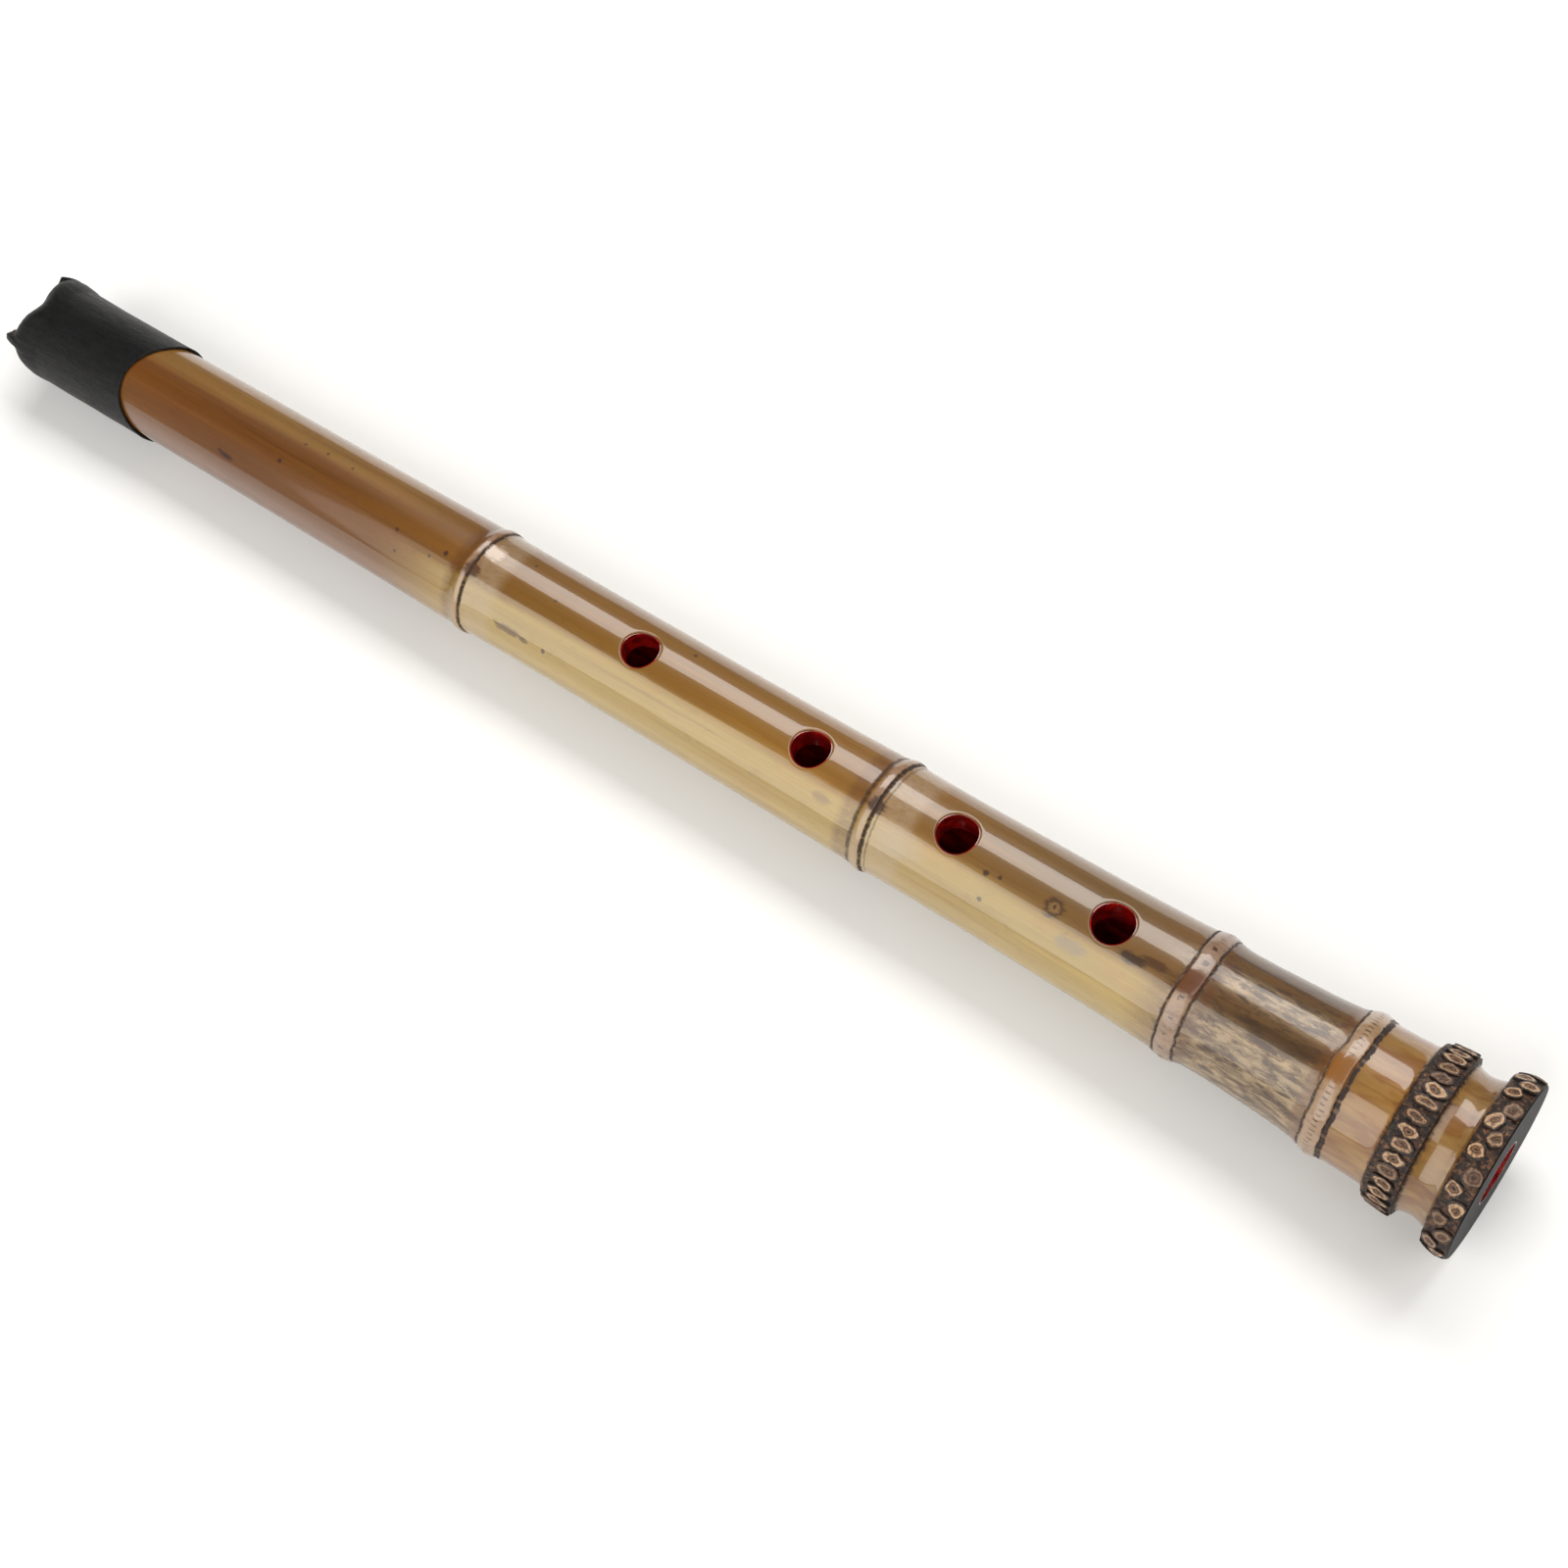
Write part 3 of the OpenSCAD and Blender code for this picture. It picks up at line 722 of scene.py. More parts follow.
        bmesh.ops.translate(mesh, vec=out * -self.inlay_t,
                            verts=[v for v in sunk if isinstance(v, BMVert)])

    def build(self, material: bpy.types.Material) -> list[bpy.types.Object]:
        """Builds the culm's piece and returns it in a list."""
        return [Finisher(Body.FLUTE, Slot.BAMBOO).piece(self.mesh(), "bamboo_culm", material, ["culm"])]


@dataclass
class Rootlets:
    """Trimmed rootlets on the root collar and in two rows on the end rim.

    The profile of a rootlet lists how far each ring of its end is set in and how high
    it stands, as shares of the radius left and of the height.
    """

    lay: Lay
    surface: CulmSurface
    collar_count: int = 36
    collar_size: tuple[float, float] = (8.0, 4.1)
    collar_h: float = 0.55
    rim_count: int = 16
    rim_size: float = 5.9
    rim_h: float = 0.42
    rim_rows_at: tuple[float, float] = (3.0, 5.8)
    sides: int = 16
    root: float = 0.9
    profile: tuple[tuple[float, float], ...] = (
        (0.0, 0.86), (0.08, 1.0), (0.14, 1.0), (0.46, 0.96), (0.1, 0.7), (0.1, 0.7), (0.24, 0.92),
        (0.1, 0.3))
    ragged: float = 0.9

    def stub(self, mesh: BMesh, size: tuple[float, float], height: float, tone: float,
             place: Callable[[float, float, float], Vector]) -> None:
        """Adds one rootlet: a sawn stub with a ringed end and a pith pit.

        Args:
            mesh: The mesh that it joins.
            size: Its length along the flute and its width, in mm.
            height: Its height over the surface in mm.
            tone: How pale it is, between 0 and 1.
            place: Puts a point of the upright stub on the culm.
        """
        ring, shade = mesh.verts.layers.float["ring"], mesh.verts.layers.float["tone"]
        made = bmesh.ops.create_circle(mesh, cap_ends=True, radius=0.5, segments=self.sides)
        face = made["verts"][0].link_faces[0]
        stub_verts = list(made["verts"])
        for v in stub_verts:
            v[ring] = 1.05
        top, reach = face, 1.0
        for inset, lift in self.profile:
            grown = bmesh.ops.extrude_face_region(mesh, geom=[top])["geom"]
            fresh = [v for v in grown if isinstance(v, BMVert)]
            if inset > 0.0 and top.is_valid:
                mesh.faces.remove(top)
            top = next(f for f in grown if isinstance(f, BMFace))
            shrink = max(0.05, (reach - 0.84 * inset) / reach)
            reach *= shrink
            bmesh.ops.scale(mesh, vec=(shrink, shrink, 1.0), verts=fresh)
            stub_verts += fresh
            for v in fresh:
                v.co.z = lift
                v[ring] = reach
        for v in stub_verts:
            v[shade] = tone
            lift = -self.root if v.co.z == 0.0 else height * v.co.z
            v.co = place(v.co.x * size[0], v.co.y * size[1], lift)

    def band(self, name: str, spots: list[tuple[float, float, float, float]], height: float,
             material: bpy.types.Material) -> bpy.types.Object:
        """Builds a band of rootlets as one piece.

        Args:
            name: Name of the piece.
            spots: Station, angle in degrees, length and width of each rootlet.
            height: Height over the surface in mm.
            material: Finish of the band.

        Returns:
            The piece.
        """
        mesh = bmesh.new()
        mesh.verts.layers.float.new("ring")
        mesh.verts.layers.float.new("tone")
        form = self.surface.form
        for k, (at, turn, length, width) in enumerate(spots):
            angle = math.radians(turn)
            tone = 0.5 + 0.5 * noise.noise(Vector((k * 1.37, at, 4.2)))
            lean = 0.25 * noise.noise(Vector((k * 2.11, at, 8.8)))
            tall = height * (0.82 + 0.18 * noise.noise(Vector((k * 0.77, at, 1.1))))
            base = form.outer_r(at)

            def place(x: float, y: float, z: float) -> Vector:
                """Puts a point of the stub on the culm, with a ragged outline."""
                near = Vector((x * 0.45, y * 0.45, k * 3.1 + at))
                x += self.ragged * noise.noise(near)
                y += self.ragged * noise.noise(near + Vector((7.7, 0.0, 0.0)))
                s = max(form.end_coat + 0.02, at + x + lean * y)
                return self.lay.place(s, form.outer_r(s) + z, angle + y / base)

            self.stub(mesh, (length, width), tall, tone, place)
        bmesh.ops.recalc_face_normals(mesh, faces=mesh.faces[:])
        return Finisher(Body.FLUTE, Slot.BAMBOO, 50.0).piece(mesh, name, material)

    def build(self, material: bpy.types.Material) -> list[bpy.types.Object]:
        """Builds both bands.

        Args:
            material: Finish of the rootlets.

        Returns:
            The collar's band and the rim's band.
        """
        form = self.surface.form
        middle = form.collar_at + form.collar_w * 0.46
        collar = []
        for k in range(self.collar_count):
            jitter = [noise.noise(Vector((k * 1.9, j * 3.3, 0.5))) for j in range(4)]
            turn = 360 / self.collar_count * (k + 0.5) + 1.6 * jitter[0]
            collar.append((middle + 0.5 * jitter[1], turn,
                           self.collar_size[0] * (0.92 + 0.14 * jitter[2]),
                           self.collar_size[1] * (0.94 + 0.2 * jitter[3])))
        rim = []
        for row, at in enumerate(self.rim_rows_at):
            for k in range(self.rim_count):
                jitter = [noise.noise(Vector((k * 2.3, j * 1.7, row + 6.5))) for j in range(4)]
                turn = 180 + 360 / self.rim_count * (k + row / 2) - 5.6 + 2.6 * jitter[0]
                size = self.rim_size * (0.94 + 0.2 * jitter[1])
                rim.append((at + 0.2 * jitter[2], turn, size, size * (0.94 + 0.2 * jitter[3])))
        return [self.band("collar_rootlets", collar, self.collar_h, material),
                self.band("rim_rootlets", rim, self.rim_h, material)]


@dataclass
class CapForm:
    """Sizes of the leather cap in mm, at stations from the root end of the flute."""

    edge_at: float = 495.5
    end_at: float = 557.0
    folds_from: float = 541.0
    bore_r: float = 16.4485
    leather_t: float = 0.8
    scoop_d: float = 7.6
    scoop_turn: float = math.radians(-32.0)
    scoop_reach: float = 1.03
    fold_l: float = 16.7
    fold_swell: float = 1.0
    fold_turn: float = math.radians(60.0)
    seam_d: float = 3.5
    crowding: float = 1.6
    valley_power: float = 2.6
    arm_power: float = 5.0
    bulge_turn: float = math.radians(150.0)

    @property
    def outer_r(self) -> float:
        """Outer radius of the sleeve."""
        return self.bore_r + self.leather_t

    def edge_s(self, turn: float) -> float:
        """Returns the station of the open edge at an angle, with its scoop."""
        off = turn - self.scoop_turn
        if math.cos(off) <= 0:
            return self.edge_at
        half = self.outer_r * self.scoop_reach
        scoop_r = (half ** 2 + self.scoop_d ** 2) / (2 * self.scoop_d)
        side = self.outer_r * math.sin(off)
        return max(self.edge_at, self.edge_at + self.scoop_d - scoop_r
                   + math.sqrt(scoop_r ** 2 - side ** 2))

    def swell(self, s: float) -> float:
        """Returns how far the folds stand out beyond the sleeve at s."""
        foot = self.leather_t * 0.4
        if s < self.folds_from:
            return 0.0
        t = (s - self.folds_from) / (self.end_at - self.folds_from)
        return max(0.0, (self.fold_swell + foot) * math.sin(self.bulge_turn * t) - foot)

    def folded_r(self, t: float, off: float, round_r: float, arm: float, half: float) -> float:
        """Finds the radius of the folded end.

        Args:
            t: Share of the way along the folds.
            off: Angle to the nearest fold in radians.
            round_r: Radius with no folds.
            arm: Length of a fold from the axis.
            half: Half the thickness of a fold.

        Returns:
            The radius in mm.
        """
        power = self.valley_power + self.arm_power * math.cos(off * 1.5) ** 2
        sine = math.sin(abs(off))
        star = arm if sine < 1e-4 else min(arm, half / sine)
        return blend(round_r, star, max(0.0, t) ** power)


@dataclass
class Cap:
    """The leather cap: a sleeve with a scooped edge and an end in three folds."""

    lay: Lay
    form: CapForm = field(default_factory=CapForm)
    fold_columns: int = 48
    sleeve_rows: int = 34
    fold_rows: int = 30
    soft: tuple[Ripple, ...] = (Ripple(0.16, 1.6, 22, 2.5), Ripple(0.07, 4.5, 9, 8.5))
    pleat: Ripple = Ripple(0.22, 5.0, 26, 6.1)
    fine_pleat: Ripple = Ripple(0.12, 9.0, 16, 3.9)
    pleat_spread: float = 2.2
    skin_sink: float = 0.1
    end_round: float = 0.25
    seam_groove: float = 1.1

    def turn_of(self, column: int) -> tuple[float, float]:
        """Returns a column's angle round the flute and its angle to the nearest fold."""
        fold, step = divmod(column, self.fold_columns)
        u = (step + 1) / (self.fold_columns / 2) - 1
        off = math.pi / 3 * math.copysign(abs(u) ** self.form.crowding, u)
        return self.form.fold_turn + fold * FULL_TURN / 3 + off, off

    def creases(self, s: float, turn: float, off: float) -> float:
        """Returns the small waves of the leather in mm."""
        form = self.form
        t = ease((s - form.folds_from + 16) / 26)
        soft = sum(ripple.at(s, turn) for ripple in self.soft)
        pleat = self.pleat.at(s, off * self.pleat_spread) + self.fine_pleat.at(s, turn)
        end = 1 - ease((s - form.end_at + 6) / 5)
        return (soft * ease((s - form.edge_at - 1) / 8) + pleat * t) * end

    def mesh(self) -> BMesh:
        """Builds the cap.

        Returns:
            The closed mesh in mm.
        """
        form, lay = self.form, self.lay
        half = form.leather_t * 1.25
        inner_half = half - form.leather_t * 0.75
        inner_end = form.end_at - form.seam_d
        edge = [("lip", k / 6) for k in range(7)]
        sleeve = [("sleeve", k / self.sleeve_rows) for k in range(1, self.sleeve_rows + 1)]
        folds = [("fold", k / self.fold_rows) for k in range(1, self.fold_rows + 1)]
        top = [("top", k) for k in (0.12, 0.3, 0.55, 0.75, 0.84, 0.9, 0.94)]
        inside = [("inside_fold", k / 12) for k in range(12, 0, -1)]
        inside += [("inside", k / 14) for k in range(14, 0, -1)]
        rings = inside + edge + sleeve + folds + top
        skin = Skin(len(rings), self.fold_columns * 3)

        def place(row: int, column: int) -> Vector:
            """Returns the place of a vertex, by the part of the cap that its row is in."""
            kind, t = rings[row]
            turn, off = self.turn_of(column)
            start = form.edge_s(turn)
            if kind == "lip":
                angle = math.pi * t
                middle, thick = form.bore_r + form.leather_t / 2, form.leather_t / 2
                return lay.place(start + thick * (1 - math.sin(angle)),
                                 middle - thick * math.cos(angle), turn)
            if kind == "inside":
                return lay.place(blend(start + form.leather_t, form.folds_from, t), form.bore_r, turn)
            if kind == "inside_fold":
                s = blend(form.folds_from, inner_end, t)
                round_r = form.bore_r + form.swell(s)
                return lay.place(s, form.folded_r(
                    t, off, round_r, form.fold_l - form.leather_t, inner_half), turn)
            if kind == "sleeve":
                s = blend(start + form.leather_t / 2, form.folds_from, t)
                creases = self.creases(s, turn, off)
                return lay.place(s, form.outer_r + creases - self.skin_sink, turn)
            if kind == "fold":
                s = blend(form.folds_from, form.end_at - self.end_round, t)
                creases = self.creases(s, turn, off)
                round_r = form.outer_r + form.swell(s) + creases - self.skin_sink
                return lay.place(s, form.folded_r(t, off, round_r, form.fold_l, half), turn)
            over = min(1.0, t / 0.55)
            groove = max(0.0, (t - 0.55) / 0.39)
            width = half * (1 - t)
            s = form.end_at - self.end_round + self.end_round * math.sin(over * math.pi / 2)
            s -= self.seam_groove * groove
            arm = form.fold_l - (half - width)
            return lay.place(s, form.folded_r(1.0, off, form.outer_r, arm, width), turn)

        skin.put(place)
        for rim_row in (0, len(rings) - 1):
            rim = [e for e in skin.mesh.edges if e.is_boundary
                   and all(skin.at[v][0] == rim_row for v in e.verts)]
            bmesh.ops.contextual_create(skin.mesh, geom=rim)
        bmesh.ops.recalc_face_normals(skin.mesh, faces=skin.mesh.faces[:])
        return skin.mesh

    def build(self, material: bpy.types.Material) -> list[bpy.types.Object]:
        """Builds the cap's piece and returns it in a list."""
        return [Finisher(Body.CAP, Slot.LEATHER, 60.0).piece(
            self.mesh(), "leather_cap", material, ["cap_leather"])]


def math_method(operation: str, swapped: bool = False) -> Callable[..., "Value"]:
    """Makes a method of Value that adds one Math node.

    Args:
        operation: The node's operation.
        swapped: Whether the other value comes first.

    Returns:
        The method.
    """
    def method(self: "Value", other: "float | Value" = 0.0) -> "Value":
        """Adds the node and returns its value."""
        first, second = (other, self) if swapped else (self, other)
        return self.graph.node("ShaderNodeMath", {"operation": operation}, {0: first, 1: second})

    return method


class Value:
    """A socket of a node tree. Python's operators on it add Math nodes."""

    def __init__(self, graph: "Graph", socket: bpy.types.NodeSocket) -> None:
        """Keeps the socket and the graph that it is in."""
        self.graph, self.socket = graph, socket

    __add__ = __radd__ = math_method("ADD")
    __sub__ = math_method("SUBTRACT")
    __rsub__ = math_method("SUBTRACT", swapped=True)
    __mul__ = math_method("MULTIPLY")
    __truediv__ = math_method("DIVIDE")
    __abs__ = math_method("ABSOLUTE")
    most = math_method("MAXIMUM")
    fraction = math_method("FRACT")
    arctan = math_method("ARCTAN2")

    def rise(self, low: float, high: float) -> "Value":
        """Returns a mask that eases from 0 at low to 1 at high."""
        return self._ease(low, high, 0.0, 1.0)

    def fall(self, low: float, high: float) -> "Value":
        """Returns a mask that eases from 1 at low to 0 at high."""
        return self._ease(low, high, 1.0, 0.0)

    def window(self, start: float, full: float, fade: float, stop: float) -> "Value":
        """Returns a mask of 1 between full and fade, eased to 0 at start and at stop."""
        return self.rise(start, full) * self.fall(fade, stop)

    def _ease(self, low: float, high: float, first: float, last: float) -> "Value":
        """Returns a value that eases from first at low to last at high."""
        return self.graph.node(
            "ShaderNodeMapRange", {"interpolation_type": "SMOOTHSTEP", "clamp": True},
            {"Value": self, "From Min": low, "From Max": high, "To Min": first, "To Max": last})


Colour = tuple[float, float, float]


def tint(red: int, green: int, blue: int) -> Colour:
    """Turns a screen colour of 0 to 255 into the linear colour that a shader takes."""
    return tuple(((c / 255 + 0.055) / 1.055) ** 2.4 if c > 10 else c / 255 / 12.92
                 for c in (red, green, blue))


class Graph:
    """The node tree of one material."""

    def __init__(self, name: str) -> None:
        """Makes a material with one surface shader."""
        self.material = bpy.data.materials.new(name)
        self.material.use_nodes = True
        self.tree = self.material.node_tree
        self.shader = self.tree.nodes["Principled BSDF"]

    def node(self, kind: str, settings: dict[str, Any], inputs: dict[int | str, Any],
             output: int | str = 0) -> Value:
        """Adds any node.

        Args:
            kind: Type of the node.
            settings: Its settings. The key stops holds a ramp's places and colours.
            inputs: Values or sockets of its inputs, by name or number.
            output: Name or number of the output that is wanted.

        Returns:
            That output.
        """
        made = self.tree.nodes.new(kind)
        for key, value in settings.items():
            if key == "stops":
                ramp = made.color_ramp
                while len(ramp.elements) < len(value):
                    ramp.elements.new(0.5)
                for element, (at, colour) in zip(ramp.elements, value):
                    element.position = at
                    element.color = (*colour, 1.0)
            else:
                setattr(made, key, value)
        for key, value in inputs.items():
            self.feed(made.inputs[key], value)
        return Value(self, made.outputs[output])

    def feed(self, socket: bpy.types.NodeSocket, value: Any) -> None:
        """Links a value to a socket, or sets the socket's own number or colour."""
        if isinstance(value, Value):
            self.tree.links.new(value.socket, socket)
        elif isinstance(value, (int, float)):
            socket.default_value = value
        else:
            size = len(socket.default_value)
            socket.default_value = (*value, 1.0)[:size] if len(value) < size else value

    def attribute(self, name: str) -> Value:
        """Returns a number that the piece carries at its vertices."""
        return self.node("ShaderNodeAttribute", {"attribute_name": name}, {}, "Fac")

    def millimetres(self, lay: Lay) -> Value:
        """Returns the place on the flute in mm: station, across and up from the axis."""
        where = self.node("ShaderNodeTexCoord", {}, {}, "Object")
        return self.vector("MULTIPLY_ADD", where, (-1 / METRES, 1 / METRES, 1 / METRES),
                           (lay.root_x, 0.0, -lay.axis_z))

    def turn(self, place: Value) -> Value:
        """Returns the angle round the flute in degrees, from the finger holes towards +Y."""
        across, up = (self.node("ShaderNodeSeparateXYZ", {}, {0: place}, axis) for axis in "YZ")
        return across.arctan(up) * math.degrees(1)

    def vector(self, operation: str, *inputs: Any, output: int | str = 0) -> Value:
        """Adds one Vector Math node and returns the output that is wanted."""
        return self.node("ShaderNodeVectorMath", {"operation": operation},
                         dict(enumerate(inputs)), output)

    def clouds(self, vector: Value, scale: float, detail: float = 3.0, rough: float = 0.5,
               bend: float = 0.0, axial: float = 1.0) -> Value:
        """Adds noise.

        Args:
            vector: Place in mm.
            scale: Waves per mm.
            detail: Number of finer layers.
            rough: Strength of the finer layers.
            bend: How far the noise bends itself.
            axial: Factor on the scale along the flute, below 1 for long grain.

        Returns:
            The noise, of about 0.5.
        """
        if axial != 1.0:
            vector = self.vector("MULTIPLY", vector, (axial, 1.0, 1.0))
        return self.node("ShaderNodeTexNoise", {"noise_dimensions": "3D"}, {
            "Vector": vector, "Scale": scale, "Detail": detail, "Roughness": rough,
            "Distortion": bend})

    def mix(self, factor: float | Value, a: Any, b: Any) -> Value:
        """Mixes two colours."""
        return self.node("ShaderNodeMix", {"data_type": "RGBA"}, {0: factor, 6: a, 7: b}, 2)

    def layers(self, colour: Value, *coats: tuple[float | Value, Any]) -> Value:
        """Lays coats over a colour in turn, each as far as its mask says."""
        for mask, coat in coats:
            colour = self.mix(mask, colour, coat)
        return colour

    def shade(self, factor: float | Value, a: Any, b: Any) -> Value:
        """Multiplies colour a by colour b, as far as factor says."""
        return self.node("ShaderNodeMix", {"data_type": "RGBA", "blend_type": "MULTIPLY"},
                         {0: factor, 6: a, 7: b}, 2)

    def ramp(self, value: Value, stops: list[tuple[float, Colour]]) -> Value:
        """Turns a number between 0 and 1 into a colour."""
        return self.node("ShaderNodeValToRGB", {"stops": stops}, {0: value})

    def bump(self, height: Value, strength: float, distance: float) -> Value:
        """Returns a normal from a height, with the distance in mm."""
        return self.node("ShaderNodeBump", {}, {
            "Height": height, "Strength": strength, "Distance": distance * METRES}, "Normal")

    def dress(self, **sockets: Any) -> bpy.types.Material:
        """Sets the surface shader's sockets and returns the material."""
        for key, value in sockets.items():
            self.feed(self.shader.inputs[key.replace("_", " ")], value)
        return self.material


@dataclass(frozen=True)
class Mark:
    """A mark on the bamboo, with lengths in mm.

    It has a station, an angle in degrees, a radius, a strength between 0 and 1, how
    many times longer than wide it is, and a colour.
    """

    at: float
    turn: float
    radius: float
    depth: float
    stretch: float = 1.0
    colour: Colour = tint(44, 24, 12)


@dataclass(frozen=True)
class Stripe:
    """A coloured stripe round the flute near a node, with lengths in mm.

    The stripe has a distance from the node towards the mouth, half its width, the
    softness of its edges, a strength between 0 and 1 and a colour.
    """

    off: float
    half: float
    soft: float
    depth: float
    colour: Colour


DARK_LINE = tint(34, 18, 12)
RED_BROWN = tint(78, 40, 18)
PINK_GREY = tint(142, 116, 98)
WAX_GREY = tint(150, 130, 104)
STRIPES: tuple[tuple[Stripe, ...], ...] = (
    (Stripe(-8.0, 3.0, 5.0, 0.4, WAX_GREY), Stripe(3.2, 0.6, 3.2, 0.45, RED_BROWN),
     Stripe(-0.2, 0.5, 0.5, 0.6, PINK_GREY), Stripe(-1.9, 0.3, 0.5, 0.95, DARK_LINE)),
    (Stripe(-8.0, 3.5, 5.0, 0.45, WAX_GREY), Stripe(5.0, 1.5, 3.5, 0.45, RED_BROWN),
     Stripe(0.1, 0.9, 0.7, 0.5, PINK_GREY), Stripe(2.7, 0.35, 0.7, 0.75, DARK_LINE),
     Stripe(-1.8, 0.35, 0.55, 0.95, DARK_LINE), Stripe(-3.4, 0.1, 0.4, 0.5, DARK_LINE)),
    (Stripe(0.0, 2.4, 0.7, 0.6, PINK_GREY), Stripe(3.2, 0.2, 0.4, 0.9, DARK_LINE),
     Stripe(-3.2, 0.2, 0.45, 0.9, DARK_LINE), Stripe(-5.4, 0.6, 1.8, 0.4, RED_BROWN)),
    (Stripe(0.0, 2.4, 0.7, 0.7, tint(150, 124, 98)), Stripe(3.3, 0.15, 0.4, 0.85, DARK_LINE),
     Stripe(-3.5, 0.65, 0.45, 1.0, DARK_LINE), Stripe(5.4, 0.8, 1.6, 0.4, RED_BROWN)))
MARKS = (
    Mark(433.6, -21.3, 0.8, 0.85), Mark(429.6, 10.8, 0.6, 0.7), Mark(420.7, 14.3, 0.6, 0.7),
    Mark(409.9, 13.6, 0.6, 0.7), Mark(382.7, -21.0, 0.7, 0.8), Mark(362.9, -17.1, 0.9, 0.85),
    Mark(380.4, -42.9, 0.6, 0.7), Mark(367.8, -27.8, 0.6, 0.7), Mark(318.2, -56.2, 0.8, 0.8),
    Mark(321.9, -0.9, 0.6, 0.7), Mark(335.6, 23.9, 0.6, 0.7), Mark(273.8, 26.3, 0.7, 0.7),
    Mark(159.4, -19.6, 1.0, 0.85), Mark(155.0, -16.8, 0.7, 0.8), Mark(157.6, -44.4, 0.7, 0.8),
    Mark(453.9, -48.4, 0.9, 0.95, 3.4), Mark(457.0, -46.0, 0.5, 0.8, 2.0),
    Mark(332.5, -55.6, 1.3, 0.75, 4.5, tint(74, 46, 34)), Mark(326.0, -57.0, 0.8, 0.7, 2.5),
    Mark(351.9, -17.5, 2.4, 0.8, 1.2, tint(58, 30, 14)),
    Mark(349.0, 12.0, 3.0, 0.6, 1.1, tint(190, 168, 150)),
    Mark(197.6, -17.0, 2.3, 0.8, 1.3, tint(44, 26, 18)),
    Mark(186.0, -36.0, 4.0, 0.35, 2.0, tint(150, 132, 112)),
    Mark(214.0, -38.0, 1.6, 0.45, 2.0, tint(96, 70, 52)),
    Mark(137.0, -16.0, 3.0, 0.85), Mark(137.0, -16.0, 1.6, 0.8, 1.2, tint(120, 90, 52)),
    Mark(137.0, -15.0, 0.6, 0.8), Mark(128.0, -38.0, 2.2, 0.55, 2.4, tint(112, 100, 88)),
    Mark(110.4, -19.7, 1.7, 0.85, 2.6, tint(40, 22, 12)),
    Mark(104.0, -14.0, 1.5, 0.7, 3.0, tint(52, 28, 12)))
SOIL = tint(50, 31, 13)
AGES = (
    (0.0, (92, 60, 20)), (28, (122, 83, 30)), (46, (112, 76, 30)), (56, (80, 56, 26)),
    (86, (84, 58, 28)), (99, (100, 70, 34)), (130, (98, 70, 32)), (185, (110, 77, 32)),
    (204, (114, 78, 27)), (240, (114, 78, 23)), (330, (104, 70, 20)), (350, (100, 65, 19)),
    (362, (104, 66, 18)), (400, (96, 58, 13)), (450, (90, 52, 11)), (500, (96, 56, 12)))


@dataclass(frozen=True)
class Finish:
    """A finish of a piece that lies along the flute."""

    lay: Lay

    def start(self, name: str) -> tuple[Graph, Value]:
        """Starts a material and returns its graph and the place on the flute in mm."""
        g = Graph(name)
        return g, g.millimetres(self.lay)


